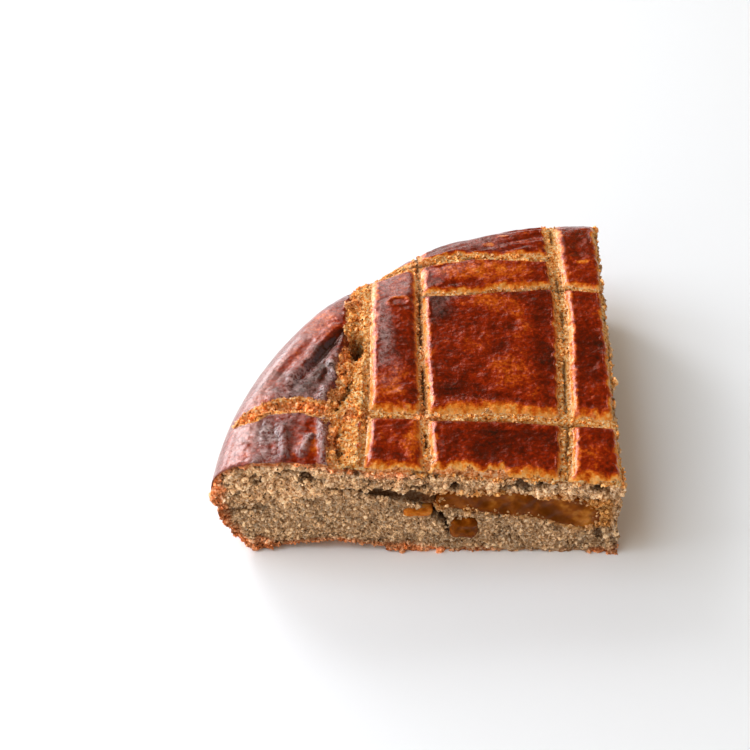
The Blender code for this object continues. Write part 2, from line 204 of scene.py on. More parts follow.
# Where the glaze baked darker or paler: middle, half sizes, and the change.
TONES = (
    ((27.0, 38.0), 13.0, 9.0, -0.16),
    ((28.5, 38.8), 6.0, 4.5, -0.13),
    ((37.0, 49.0), 10.0, 6.5, -0.13),
    ((22.0, 52.0), 6.0, 7.0, -0.10),
    ((34.0, 24.5), 19.0, 4.0, -0.27),
    ((33.0, 64.5), 15.0, 4.5, -0.24),
    ((53.6, 9.0), 3.4, 11.0, -0.26),
    ((59.0, 17.5), 9.0, 2.4, -0.16),
    ((22.0, 16.8), 10.0, 2.2, -0.12),
    ((24.0, 60.0), 7.0, 4.0, -0.12),
    ((45.6, 62.0), 7.0, 9.0, 0.20),
    ((17.0, 46.0), 4.0, 26.0, 0.12),
    ((44.0, 28.0), 7.0, 6.0, 0.10),
    ((32.0, 11.0), 20.0, 9.0, 0.13),
    ((45.5, 36.0), 4.0, 14.0, 0.07),
    ((10.0, 7.0), 7.0, 6.0, -0.08),
    ((59.0, 10.0), 6.0, 7.0, -0.12),
    ((5.0, 8.0), 6.0, 6.0, -0.16),
    ((6.0, 46.0), 4.0, 22.0, 0.08),
    ((32.0, 76.5), 22.0, 8.0, -0.24),
    ((6.0, 78.0), 7.0, 6.0, -0.02),
    ((6.0, 90.0), 8.0, 8.0, 0.12),
    ((57.0, 50.0), 6.0, 14.0, -0.08),
    ((53.4, 14.0), 2.4, 8.0, -0.10),
    ((60.0, 32.0), 6.0, 12.0, -0.18),
    ((57.0, 72.0), 6.0, 8.0, -0.12),
    ((32.0, 92.0), 22.0, 6.0, -0.06),
    ((92.0, 9.0), 8.0, 7.0, 0.12),
    ((79.0, 9.0), 6.0, 9.0, -0.20),
    ((80.0, 55.0), 9.0, 12.0, -0.28),
    ((84.0, 40.0), 7.0, 14.0, -0.08),
    ((27.0, 94.3), 2.4, 1.1, -0.45),
    ((31.1, 90.0), 2.4, 1.1, -0.45),
    ((5.0, 81.9), 2.4, 1.0, -0.45),
)
TONE_STREAKS = (
    ((74.2, 51.5), (81.9, 38.0), 2.6, 0.34),
    ((78.3, 35.3), (84.7, 23.6), 4.0, 0.30),
    ((80.0, 46.0), (76.5, 30.0), 3.0, 0.14),
)

# Where the glaze is crinkled and painted with a pale sheen, a painted reflection: middle, half sizes, and
# how much.
PAINTED_SHEEN_SPOTS = (
    ((94.0, 8.0), 13.5, 12.0, 0.95),
    ((88.0, 34.0), 13.0, 24.0, 0.60),
    ((84.0, 55.0), 10.0, 16.0, 0.12),
    ((62.8, 50.0), 4.6, 17.0, 0.50),
    ((61.0, 38.0), 5.0, 10.0, 0.15),
    ((46.5, 63.0), 5.0, 6.0, 0.06),
    ((58.0, 74.0), 8.0, 8.0, 0.30),
    ((44.0, 90.0), 24.0, 9.0, 0.16),
)

# Where the rim is smooth and painted with a pale sheen, a painted reflection: from these radii out, up to
# these turns from the front face.
RIM_SHEEN_FROM = (94.0, 99.0)
RIM_SHEEN_TO = (0.75, 0.45)

# How thick the crust under the base shows along the front face, by distance from the tip.
BASE_CRUST = (
    (0, 2.6), (4, 1.8), (9, 0.7), (26, 0.6), (34, 1.3), (44, 0.9), (49, 2.4),
    (58, 2.8), (64, 1.3), (74, 1.5), (86, 1.8), (92, 4.0), (106, 4.6),
)

CRUMB_FOLLOWS_TOP_FROM = 22.5
CAKE_FACE = 0.46
CAKE_TRIANGLES = 190000
FILLING_FACE = 0.5
FILLING_TRIANGLES = 40000

# Grains of loose crumb: piece, mask, least distance apart, smallest and largest radius, and seed.
LOOSE_CRUMB = (
    ("crumb_of_cut_faces", "cut_crumb", 0.48, 0.18, 0.70, 1),
    ("crumb_of_right_face", "right_crumb", 0.64, 0.22, 0.86, 7),
    ("crumb_of_scores", "top_crumb", 0.62, 0.12, 0.55, 2),
    ("crumb_of_tear", "tear_crumb", 0.66, 0.18, 0.72, 3),
    ("rubble_of_tear", "tear_rubble", 1.80, 0.60, 1.35, 5),
    ("crumb_of_base", "base_crumb", 1.60, 0.25, 1.40, 4),
)
STUCK_CRUMB = ("crumb_on_filling", "stuck_crumb", 0.85, 0.15, 0.75, 6)
GRAIN_INPUTS = (
    ("Geometry", "NodeSocketGeometry"),
    ("Where", "NodeSocketString"),
    ("Apart", "NodeSocketFloat"),
    ("Per Square Metre", "NodeSocketFloat"),
    ("Smallest", "NodeSocketFloat"),
    ("Largest", "NodeSocketFloat"),
    ("Seed", "NodeSocketInt"),
    ("Material", "NodeSocketMaterial"),
)


# Points tried for each square of the least distance apart, of which those too near another are left out.
POINTS_TRIED = 2.0

# Each grain: how much rarer large ones are, how much it grows in coarse crumb, the least and the most that
# it is squashed or stretched, and the bumps to the metre and the reach in metres of its uneven form.
RARITY_OF_LARGE = 2.5
COARSE_GROWTH = 0.3
SQUASH = (0.6, 1.3)
SHAKE_BUMPS = 1300.0
SHAKE_REACH = 0.0018
FULL_TURN = 6.283

# The camera, from the tip of the quarter, and its turns in degrees.
CAMERA_AT = (-60.5, -338.6, 374.0)
CAMERA_DOWN = 42.58
CAMERA_ASIDE = -0.44
CAMERA_ROLL = 0.27
FOCAL_LENGTH_IN_PIXELS = 1901.0
IMAGE_WIDTH_IN_PIXELS = 750.0
SENSOR_WIDTH = 36.0

# Panels of light, in metres: azimuth from the left towards the back, elevation, size, radiance and colour.
LIGHT_DISTANCE = 1.2
PANELS = (
    ("window_behind", 70, 22, (0.8, 0.9), 1.66, "#F4FFFE"),
    ("window_corner", 35, 22, (0.8, 0.9), 2.0, "#EDF3FF"),
    ("window_pane", 48, 28, (0.34, 0.5), 10.0, "#F4F8FF"),
    ("window_sill", 47, 5, (0.9, 0.2), 6.0, "#F4F8FF"),
    ("window_left", 0, 22, (0.8, 0.9), 3.3, "#F1F6FF"),
    ("wall_in_front", -50, 14, (0.8, 0.9), 1.6, "#FFFFFF"),
    ("ceiling_left", 0, 58, (0.9, 0.8), 2.6, "#D6EAFF"),
    ("ceiling_in_front", -45, 58, (0.9, 0.8), 1.5, "#F6FCFF"),
    ("wall_right", 180, 35, (0.9, 0.9), 0.9, "#DBE7FF"),
)


# ---------------------------------------------------------------- sums


def ramp(value, start, stop):
    """0 up to start and 1 from stop on, with level ends. Start may be the larger of the two."""
    t = np.clip((value - start) / (stop - start), 0.0, 1.0)
    return t * t * (3.0 - 2.0 * t)


def between(knots, at):
    """A curve that eases from knot to knot and stays level past its ends."""
    places, heights = np.array(knots, float).T
    low = np.clip(np.searchsorted(places, at, side="right") - 1, 0, len(places) - 2)
    return heights[low] + (heights[low + 1] - heights[low]) * ramp(at, places[low], places[low + 1])


def hashed(cells, seed):
    """A number from 0 to 1 for each whole-numbered cell, the same each time for the same seed."""
    x, y, z = (cells[..., axis] for axis in range(3))
    mixed = x * 73856093 ^ y * 19349663 ^ z * 83492791 ^ seed * 2654435761
    mixed = (mixed ^ (mixed >> 13)) * 1274126177 & 0x7FFFFFFF
    mixed = (mixed ^ (mixed >> 15)) * 1103515245 & 0x7FFFFFFF
    return (mixed >> 7 & 0xFFFFF) / 0xFFFFF


def bumps(places, grain, seed):
    """Smooth random heights from -1 to 1, with about one bump for each grain of length."""
    scaled = places / grain + 0.37 * seed
    cell = np.floor(scaled).astype(np.int64)
    share = scaled - cell
    share = share * share * (3.0 - 2.0 * share)
    total = np.zeros(len(places))
    for corner in itertools.product((0, 1), repeat=3):
        weight = np.prod(np.where(corner, share, 1.0 - share), axis=1)
        total += weight * hashed(cell + np.array(corner), seed)
    return 2.0 * total - 1.0


def grains(places, grain, seed):
    """Distances to the nearest and to the next of the grains scattered through space, in grain sizes."""
    scaled = places / grain
    cell = np.floor(scaled).astype(np.int64)
    first = np.full(len(places), np.inf)
    second = first.copy()
    for step in itertools.product((-1, 0, 1), repeat=3):
        near = cell + np.array(step)
        middle = near + np.stack([hashed(near, seed + axis) for axis in range(3)], axis=1)
        gap = np.linalg.norm(middle - scaled, axis=1)
        second = np.minimum(second, np.maximum(first, gap))
        first = np.minimum(first, gap)
    return first, second


def groove(distance, half_width):
    """1 at the bottom of a groove, easing to 0 where the rounded tile beside it becomes level."""
    return np.clip(1.0 - np.abs(distance) / half_width, 0.0, 1.0) ** GROOVE_POWER


def spot(u, v, middle, half_u, half_v):
    """1 in the middle of an oval on the top, easing to 0 at its edge."""
    return ramp(np.hypot((u - middle[0]) / half_u, (v - middle[1]) / half_v), 1.0, 0.3)


def streak(u, v, start, stop, half_width):
    """1 along a straight line, easing to 0 at the half width from it."""
    along_u, along_v = stop[0] - start[0], stop[1] - start[1]
    share = ((u - start[0]) * along_u + (v - start[1]) * along_v) / (along_u**2 + along_v**2)
    share = np.clip(share, 0.0, 1.0)
    gap = np.hypot(u - start[0] - share * along_u, v - start[1] - share * along_v)
    return ramp(gap, half_width, 0.2 * half_width)


# ---------------------------------------------------------------- form of the cake


def skin_height(radius):
    """Height of the unscored top, which rises from the middle to the crown and rounds over to the rim."""
    inner = MIDDLE_HEIGHT + (CROWN_HEIGHT - MIDDLE_HEIGHT) * radius / CROWN_RADIUS
    out = np.clip((radius - CROWN_RADIUS) / (RIM_RADIUS - CROWN_RADIUS), 0.0, 1.0)
    rise = (1.0 - out**SHOULDER_POWER) ** (1.0 / SHOULDER_POWER)
    outer = WAIST_HEIGHT + (CROWN_HEIGHT - WAIST_HEIGHT) * rise
    return np.where(radius <= CROWN_RADIUS, inner, outer)


def cake_profile():
    """Half section of the whole cake, from the middle of the top round the rim to the middle of the base."""
    points = [(0.0, MIDDLE_HEIGHT), (CROWN_RADIUS, CROWN_HEIGHT)]
    for step in range(1, SHOULDER_STEPS):
        turn = math.pi / 2 * step / SHOULDER_STEPS
        radius = CROWN_RADIUS + (RIM_RADIUS - CROWN_RADIUS) * math.sin(turn)
        points.append((radius, float(skin_height(radius))))
    for step in range(SIDE_STEPS + 1):
        share = 1.0 - step / SIDE_STEPS
        radius = FOOT_RADIUS + (RIM_RADIUS - FOOT_RADIUS) * math.sin(math.pi / 2 * share)
        points.append((radius, WAIST_HEIGHT * share))
    points.append((0.0, 0.0))
    return points


def pocket_profile():
    """Closed section of the space between the layers: out along its ceiling and back on its floor."""
    ring = POCKET_CEILING + POCKET_END + POCKET_FLOOR[::-1]
    return [*ring, ring[0]]


def filling_profile():
    """Section of the filling, which presses a little into the crumb above and below it."""
    ceiling = [(r, height + FILLING_OVERLAP) for r, height in POCKET_CEILING if r < FILLING_END]
    floor = [(r, height - FILLING_OVERLAP) for r, height in POCKET_FLOOR if r < FILLING_END]
    ceiling[0] = (ceiling[0][0] - FILLING_OVERLAP, ceiling[0][1])
    floor[0] = (floor[0][0] - FILLING_OVERLAP, floor[0][1])
    low = float(between(POCKET_FLOOR, FILLING_END)) - FILLING_OVERLAP
    high = low + FILLING_HEIGHT_AT_END
    nose = [(FILLING_END, high), (FILLING_END + FILLING_NOSE, (low + high) / 2), (FILLING_END, low)]
    return ceiling + nose + floor[::-1] + ceiling[:1]


class Surface:
    """Where each point of the plain turned quarter is, and what the baker and the knife do to it there."""

    def __init__(self, points):
        self.place = points * (-1.0, 1.0, 1.0)
        self.u, self.v, self.height = self.place.T
        self.radius = np.hypot(self.u, self.v)
        self.turn = np.arctan2(self.v, self.u)
        self.on_top = np.maximum(self.place * (1.0, 1.0, 0.0), 0.0)
        self.front = ramp(self.v, 1.2, 0.1)
        self.right = ramp(self.u, 1.2, 0.1)
        skin = np.maximum(skin_height(self.radius), CRUMB_FOLLOWS_TOP_FROM + 1.0)
        self.follow = ramp(self.height, CRUMB_FOLLOWS_TOP_FROM, skin)
        self.below_skin = skin_height(self.radius) - self.height
        up_the_side = np.clip(self.height / WAIST_HEIGHT, 0.0, 1.0) * math.pi / 2
        self.inside_side = FOOT_RADIUS + (RIM_RADIUS - FOOT_RADIUS) * np.sin(up_the_side) - self.radius
        self.rim = ramp(self.radius, 86.0, 94.0)
        self.foot = ramp(self.height + 1.5 * bumps(self.place, 3.0, 81), 17.0, 12.0)
        self.base_crust = 2.0 + (between(BASE_CRUST, self.u) - 2.0) * ramp(self.v, 6.0, 2.0)
        self.pocket_floor = between(POCKET_FLOOR, self.radius)
        self.pocket_ceiling = between(POCKET_CEILING, self.radius)

    def scores(self):
        """(depth, glazed share of the way to full colour, slit) of the knife's score lines."""
        u, v, _ = self.on_top.T
        wobble = 0.45 * bumps(self.on_top, 1.7, 11) + 0.35 * bumps(self.on_top, 4.5, 12)
        broken = ramp(bumps(self.on_top, 6.0, 14) + 0.5 * bumps(self.on_top, 1.5, 15), -0.35, 0.15)
        depth = np.zeros(len(u))
        slit = np.zeros(len(u))
        glazed = np.full(len(u), 9.0)
        for lines, across, along in ((SCORES_FROM_FRONT, u, v), (SCORES_FROM_RIGHT, v, u)):
            for line in lines:
                offset = across - between(line.course, along) - 0.25 * wobble
                far = (offset > 0.0).astype(int)
                reach, bottom, fade = (np.array(pair)[far] for pair in (line.reach, line.crumb, line.fade))
                crumb = bottom * (1.0 + 0.5 * wobble)
                starts = ramp(along, line.course[0][0] - SCORE_END_RAMP, line.course[0][0] + SCORE_END_RAMP)
                stops = ramp(along, line.course[-1][0] + SCORE_END_RAMP, line.course[-1][0] - SCORE_END_RAMP)
                there = starts * stops
                up = np.clip((np.abs(offset) - bottom) / np.maximum(reach - bottom, 0.8), 0.0, 1.0)
                rounded = line.depth * (1.0 - up) ** TILE_EDGE_POWER
                knife = there * broken * ramp(np.abs(offset), 0.65, 0.15) * min(1.0, line.slit)
                depth = np.maximum(depth, there * rounded + knife * line.slit)
                slit = np.maximum(slit, knife)
                glazed = np.minimum(glazed, (np.abs(offset) - crumb) / fade + 4.0 * (1.0 - there))
        return depth, glazed, slit

    def tear(self):
        """(depth, torn share, rubble) of the score that opened in the oven and of the one to the rim."""
        u, v, _ = self.on_top.T
        bottom = between(TEAR_COURSE, v) + 0.7 * bumps(self.on_top, 3.1, 13)
        inner = ramp(u, TEAR_INNER_EDGE, bottom)
        outer = np.clip(1.0 - (u - bottom) / TEAR_OUTER_WIDTH, 0.0, 1.0) ** TEAR_OUTER_POWER
        share = np.where(u < bottom, inner, outer)
        side = groove(v - between(SIDE_TEAR, u), SIDE_TEAR_HALF_WIDTH) * ramp(u, 64.0, 67.0)
        side *= 1.0 - ramp(self.radius, 98.0, 104.0)
        depth = np.maximum(share * between(TEAR_DEPTH, v), side * SIDE_TEAR_DEPTH)
        depth += TEAR_PIT_DEPTH * self.pit() + TEAR_CRACK_DEPTH * self.cracks()
        past = (u - bottom) / TEAR_OUTER_WIDTH
        depth -= 0.85 * ramp(np.abs(past - 1.05), 0.4, 0.0) * ramp(bumps(self.on_top, 5.0, 18), -0.4, 0.2)
        loose = np.maximum(ramp(np.abs(past - 0.5), 0.6, 0.25) * ramp(share, 0.0, 0.2), ramp(side, 0.1, 0.4))
        return depth, np.maximum(share, np.minimum(1.0, 2.2 * side)), loose

    def cracks(self):
        """1 in the cracks between the torn lumps, which are sunk and painted dark as shade."""
        u, v, _ = self.on_top.T
        u = u + 0.9 * bumps(self.on_top, 2.1, 19)
        return np.maximum.reduce([streak(u, v, *ends, 1.0) for ends in TEAR_CRACKS])

    def pit(self):
        """1 in the hole at the bottom of the tear."""
        u, v, _ = self.on_top.T
        return spot(u + 0.5 * bumps(self.on_top, 1.9, 16), v + bumps(self.on_top, 2.3, 17), *TEAR_PIT)

    def hem(self):
        """How far the glaze that ran down the side has come to its full depth, from 0 where it ends."""
        waves = 1.8 * bumps(self.place, 9.0, 93) + 0.8 * bumps(self.place, 2.8, 94)
        low = HEM_HEIGHT - HEM_DROP * ramp(self.turn, 0.15, 0.6)
        return ramp(self.height + waves, low, low + HEM_WIDTH)

    def folds(self):
        """Depth of the folds in the crust above the rim."""
        degrees = np.degrees(self.turn)
        wander = FOLD_WANDER * np.sin(np.radians(degrees * FOLD_WAVES))
        depth = np.zeros(len(degrees))
        for ring, first, last, deep, half_width in FOLDS:
            ends = ramp(degrees, first, first + FOLD_END_RAMP) * ramp(degrees, last, last - FOLD_END_RAMP)
            depth += deep * ends * groove(self.radius - ring - wander, half_width)
        return depth + RIM_DIP_DEPTH * self.rim_dip() * ramp(self.radius, 86.0, 96.0)

    def rim_dip(self):
        """1 in the middle of the dip in the rim."""
        return ramp(np.abs(np.degrees(self.turn) - RIM_DIP_AT), RIM_DIP_REACH, 0.0)

    def wrinkles(self):
        """Height of the fine wrinkles and dimples that the glaze dried and baked into."""
        u, v, _ = self.on_top.T
        dimples = 0.14 * bumps(self.on_top, 4.4, 21) + 0.07 * bumps(self.on_top, 1.9, 22)
        dimples += 0.06 * bumps(self.on_top, 1.0, 27)
        along_edge = np.stack([u / 1.2, v / 6.0, 0.0 * u], axis=1)
        drips = 0.30 * bumps(along_edge, 1.0, 23) * ramp(v, 28.0, 22.0) * ramp(v, 19.5, 21.5)
        drips *= ramp(u, 66.0, 60.0)
        outer_blocks = ramp(u, 72.0, 76.0) * ramp(self.radius, 103.0, 97.0)
        pleats = 0.22 * bumps(along_edge, 1.0, 24) * outer_blocks * ramp(v, 19.0, 15.0)
        round_rim = np.stack([self.radius / 1.5, self.turn * self.radius / 11.0, 0.0 * u], axis=1)
        pleats += 0.26 * bumps(round_rim, 0.9, 25) * outer_blocks * ramp(v, 20.0, 24.0)
        pleats += 0.24 * bumps(self.on_top, 1.1, 28) * outer_blocks
        back_rim = ramp(v, 84.0, 88.0) * ramp(u, 10.0, 14.0)
        pleats += 0.45 * bumps(round_rim, 0.8, 26) * back_rim
        smooth_rim = 1.0 - 0.85 * ramp(self.radius, *RIM_SHEEN_FROM) * ramp(self.turn, *RIM_SHEEN_TO)
        fine = (dimples + drips + pleats) * smooth_rim
        return fine + BLISTER_HEIGHT * self.blister() + CURL_HEIGHT * self.curls()

    def curls(self):
        """1 along the ridges where the skin curled up."""
        u, v, _ = self.on_top.T
        u = u + 0.4 * bumps(self.on_top, 2.4, 37)
        return np.maximum.reduce([streak(u, v, *ends, CURL_HALF_WIDTH) for ends in CURLS])

    def blister(self):
        """1 on the broken ring that a burst blister left, and 0 elsewhere."""
        u, v, _ = self.on_top.T
        ring = np.hypot((u - BLISTER_AT[0]) / 1.15, v - BLISTER_AT[1]) - BLISTER_RADIUS
        gap = np.abs(ring + 0.7 * bumps(self.on_top, 2.5, 29))
        return ramp(gap, 0.9, 0.1) * ramp(v + 0.4 * u + bumps(self.on_top, 2.0, 30), 85.0, 87.0)


# How far the top sinks, the shares of bare and of torn crumb, how far in a tile's glaze a point is, the
# knife's slit, and the share of loose rubble.
Top = namedtuple("Top", "sunk bare torn margin slit loose")


def sink_top(surface):
    """How far the baked top lies below the plain turned one, and the masks of its glaze and torn crumb."""
    cut_depth, glazed, slit = surface.scores()
    torn_depth, torn, loose = surface.tear()
    kept = 1.0 - (1.0 - SCORE_LEFT_AT_RIM) * ramp(surface.radius, *SCORE_FADE)
    clumps = 0.9 * bumps(surface.on_top, 3.2, 31) + 0.5 * bumps(surface.on_top, 1.5, 32)
    edge = ramp(glazed, 0.15, -0.15)
    uneven = 0.25 * bumps(surface.on_top, 2.0, 33) * ramp(torn, 0.0, 0.1)
    bare = np.maximum(edge, ramp(torn + uneven, 0.10, 0.30))
    depth = kept * np.maximum(cut_depth, torn_depth) + surface.folds()
    depth -= (1.0 - bare) * surface.wrinkles() + TILE_RISE
    chunk, _ = grains(surface.on_top, 2.4, 34)
    rubble = 1.6 * (chunk - 0.45) + 0.35 * bumps(surface.on_top, 1.0, 35)
    boulder, _ = grains(surface.on_top + 7.7, 3.3, 36)
    depth += torn * (0.3 + 0.7 * loose) * (0.6 * clumps + rubble) + 0.2 * edge * (clumps + rubble)
    depth += 1.9 * loose * (boulder - 0.5)
    margin = np.minimum(glazed, 3.0 * (1.0 - torn) ** 2)
    return Top(depth, bare, torn, margin, slit, loose)


# ---------------------------------------------------------------- mesh work


def move_to(obj, collection):
    """Takes the object out of its collections and puts it in this one."""
    for holder in list(obj.users_collection):
        holder.objects.unlink(obj)
    collection.objects.link(obj)


def applied(obj):
    """The object with its modifiers applied."""
    graph = bpy.context.evaluated_depsgraph_get()
    obj.data = bpy.data.meshes.new_from_object(obj.evaluated_get(graph))
    obj.modifiers.clear()
    return obj


def turned(name, profile):
    """A solid turned about Z from its profile of radius and height, with its faces pointing out."""
    mesh = bpy.data.meshes.new(name)
    edges = [(index, index + 1) for index in range(len(profile) - 1)]
    mesh.from_pydata([(radius, 0.0, height) for radius, height in profile], edges, [])
    obj = bpy.data.objects.new(name, mesh)
    bpy.context.scene.collection.objects.link(obj)
    screw = obj.modifiers.new("turn", "SCREW")
    screw.steps = screw.render_steps = TURN_STEPS
    screw.use_merge_vertices = True
    screw.merge_threshold = 0.0001
    applied(obj)
    cage = bmesh.new()
    cage.from_mesh(obj.data)
    bmesh.ops.remove_doubles(cage, verts=cage.verts, dist=0.001)
    bmesh.ops.recalc_face_normals(cage, faces=cage.faces)
    cage.to_mesh(obj.data)
    cage.free()
    return obj


def quarter_box(recess=0.0):
    """A box over the quarter, drawn in from both of its cut faces by the recess."""
    reach = 2.0 * RIM_RADIUS
    bpy.ops.mesh.primitive_cube_add(size=reach)
    box = bpy.context.active_object
    box.data.transform(Matrix.Translation((-reach / 2 - recess, reach / 2 + recess, 0.0)))
    return box


def cut(obj, cutter, operation="DIFFERENCE"):
    """One Boolean, applied, after which the cutter is removed."""
    boolean = obj.modifiers.new(operation.lower(), "BOOLEAN")
    boolean.operation = operation
    boolean.solver = "EXACT"
    boolean.object = cutter
    applied(obj)
    bpy.data.objects.remove(cutter, do_unlink=True)
    return obj


def even_faces(obj, size):
    """Square faces of one size all over, fine enough to carry the relief."""
    grid = obj.modifiers.new("even faces", "REMESH")
    grid.mode = "VOXEL"
    grid.voxel_size = size
    return applied(obj)


def fewer_faces(obj, count):
    """About this many triangles, which gather where the surface bends."""
    obj.data.calc_loop_triangles()
    fewer = obj.modifiers.new("fewer faces", "DECIMATE")
    fewer.ratio = min(1.0, count / len(obj.data.loop_triangles))
    fewer.use_collapse_triangulate = True
    return applied(obj)


def read_points(mesh):
    """The places of the mesh's points, one row each."""
    values = np.empty(3 * len(mesh.vertices), np.float32)
    mesh.vertices.foreach_get("co", values)
    return values.reshape(-1, 3).astype(float)


def write_points(mesh, points):
    """Moves the mesh's points to these places."""
    mesh.vertices.foreach_set("co", points.astype(np.float32).ravel())
    mesh.update()


def write_masks(mesh, masks):
    """Stores a number for each point under each name, which the materials and the grains read."""
    for name, values in masks.items():
        layer = mesh.attributes.new(name, "FLOAT", "POINT")
        layer.data.foreach_set("value", np.clip(values, 0.0, 1.0).astype(np.float32))


def in_frame(obj):
    """The piece in metres, in its place in the frame."""
    obj.data.transform(Matrix.Translation((*TIP_IN_FRAME, 0.0)))
    obj.data.transform(Matrix.Scale(METRES, 4))
    return obj


# ---------------------------------------------------------------- the cake


# How far the front and the right cut faces stand out, their pits and the gaps between their clumps, both
# also painted dark as shade.
Faces = namedtuple("Faces", "front right pits crevices")


def cut_face_relief(surface):
    """Form of the cut faces: their clumps, waves and pits, and how the right one leans and bulges."""
    place, height = surface.place, surface.height
    wavy = place + 0.7 * bumps(place, 1.5, 43)[:, None]
    clump_first, clump_second = grains(wavy * (1.0, 1.0, 1.25), 3.1, 44)
    upper = ramp(height, 14.5, 20.5)
    crevices = upper * ramp(clump_second - clump_first, 0.16, 0.03) * ramp(bumps(place, 4.0, 45), -0.2, 0.3)
    lump_first, lump_second = grains(wavy, 1.8, 46)
    gaps = (1.0 - upper) * ramp(lump_second - lump_first, 0.22, 0.04)
    gaps *= ramp(bumps(place, 3.0, 49), -0.3, 0.3)
    crevices = np.maximum(crevices, 0.6 * gaps)
    clumps = upper * 1.7 * (0.55 - clump_first) + (1.0 - upper) * 0.7 * (0.5 - lump_first) - 0.8 * crevices
    waves = 0.45 * bumps(place, 7.0, 47) + (0.25 + 0.35 * upper) * bumps(place, 2.4, 48)
    pit_first, _ = grains(place + 3.3 + 0.8 * bumps(place, 1.6, 54)[:, None], 3.8, 51)
    pits = ramp(pit_first, 0.30, 0.10) * (0.2 + 0.8 * upper)
    relief = clumps + waves - 1.0 * pits - 0.3
    lean = (1.0 * ramp(height, 14.0, 0.0) + 0.8 * ramp(height, 12.0, 20.0)) * ramp(surface.v, 18.0, 0.0)
    bulge = 0.7 * ramp(np.abs(surface.v - 50.0), 45.0, 0.0)
    return Faces(relief, relief + lean + bulge, np.maximum(pits, 0.8 * crevices), crevices)


def front_carvings(surface):
    """Depth of the cracks and holes in the front face, less where the base's thick crust stands out."""
    u = surface.u + 0.9 * bumps(surface.place, 2.2, 61) + 0.5 * bumps(surface.place, 1.0, 63)
    height = surface.height + 0.9 * bumps(surface.place, 2.2, 62) + 0.5 * bumps(surface.place, 1.0, 64)
    depth = np.zeros(len(u))
    for *line, deep in FRONT_CRACKS:
        depth = np.maximum(depth, deep * streak(u, height, *line))
    return depth - 0.9 * ramp(surface.height, 3.4, 1.4) * ramp(surface.base_crust, 1.8, 3.0)


def ragged_pocket(surface):
    """How far crumb hangs into the space between the layers near the cut faces, as a change of height."""
    near_cut = np.maximum(ramp(surface.v, 5.0, 0.5), ramp(surface.u, 5.0, 0.5))
    ceiling, floor = surface.pocket_ceiling, surface.pocket_floor
    inside = ramp(surface.radius, 70.0, 64.0) * ramp(surface.radius, 3.0, 8.0)
    hang = ramp(surface.height, ceiling - 2.5, ceiling - 0.4) * ramp(surface.height, ceiling + 4.5, ceiling)
    clumps = 0.3 + 1.5 * bumps(surface.place, 3.2, 71) + 0.9 * bumps(surface.place, 1.5, 72)
    rise = ramp(surface.height, floor - 3.0, floor) * ramp(surface.height, floor + 1.5, floor + 0.2)
    lumps = 0.7 * bumps(surface.place, 2.4, 73)
    return near_cut * inside * (rise * lumps - hang * np.maximum(clumps, -0.6))


def swollen_radius(surface):
    """Distance from the cake's middle, with the rim's crease and dip and the rough crumb of its foot."""
    place, height, turn = surface.place, surface.height, surface.turn
    nearest, _ = grains(place, 1.9, 83)
    patchy = 0.35 + 0.65 * ramp(bumps(place, 7.0, 84), -0.5, 0.5)
    shift = ramp(height, 27.0, 21.0) * 0.6 * bumps(place, 8.0, 82)
    shift += surface.foot * (patchy * (0.55 - nearest + 0.6 * bumps(place, 3.0, 85)) + 0.2)
    shift += 1.1 * ramp(height, 0.0, 3.0) * ramp(height, 16.0, 8.0) * np.cos(turn) ** 2
    shift -= CREASE_DEPTH * groove(height - CREASE_HEIGHT, CREASE_HALF_WIDTH)
    uneven = sum(share * np.sin(waves * turn) for waves, share in OUT_OF_ROUND.items())
    uneven += RIM_DIP_SHARE * surface.rim_dip()
    return surface.radius + surface.rim * shift - surface.radius * uneven


def lifted_base(surface):
    """How far the base stands off the table: in its arch, and where its edge is uneven."""
    place, u, v = surface.place, surface.u, surface.v
    edge = np.maximum.reduce([ramp(v, 3.0, 0.0), ramp(u, 3.0, 0.0), ramp(surface.radius, 89.0, 94.0)])
    lift = ARCH_HEIGHT * ramp(np.abs(u - ARCH_AT), ARCH_REACH, 0.0) * ramp(v, 14.0, 0.0)
    lift += edge * np.maximum(0.0, 0.9 * bumps(place, 5.5, 91) + 0.7 * bumps(place, 2.2, 92))
    return lift * ramp(surface.height, 8.0, 0.0)


def baked_places(surface, top, faces, carved):
    """Where each point ends up on the baked and cut cake."""
    place, u, turn = surface.place, surface.u, surface.turn
    skin_edge = ramp(surface.below_skin, 0.0, 1.2)
    flakes = groove(surface.below_skin - 2.0 - 0.4 * bumps(place, 9.0, 52), 0.8)
    flakes += 0.7 * groove(surface.below_skin - 3.6 - 0.6 * bumps(place, 7.0, 53), 0.8) * ramp(u, 96.0, 88.0)
    front = surface.front * ((faces.front - 1.1 * flakes * ramp(u, 68.0, 76.0)) * skin_edge - carved)
    right = surface.right * faces.right * skin_edge
    radius = swollen_radius(surface)
    height = surface.height - surface.follow * top.sunk + lifted_base(surface) + ragged_pocket(surface)
    moved = np.stack([-radius * np.cos(turn) + right, radius * np.sin(turn) - front, height], axis=1)
    moved[:, 2] = np.maximum(moved[:, 2], 0.0)
    return moved


def skin_masks(surface, top, cut_side):
    """Masks of the baked skin: where it is, how dark it baked, and where it is crinkled or smooth and
    painted with a pale sheen.
    """
    outside = ramp(surface.below_skin, 1.6, 0.5) * (1.0 - surface.foot * surface.rim)
    hemmed = ramp(surface.inside_side, 1.2, 0.4) * ramp(surface.hem(), 0.05, 0.25) * surface.rim
    rim_sheen_from = surface.radius + bumps(surface.on_top, 5.0, 109)
    return {
        "glaze": np.maximum(outside, hemmed) * (1.0 - top.bare) * (1.0 - cut_side),
        "bake": browning(surface, top.margin),
        "bloom": painted_sheen_mask(surface) * ramp(top.margin, 0.6, 1.2),
        "settled": ramp(rim_sheen_from, 92.0, 97.0) * ramp(surface.turn, *RIM_SHEEN_TO),
    }


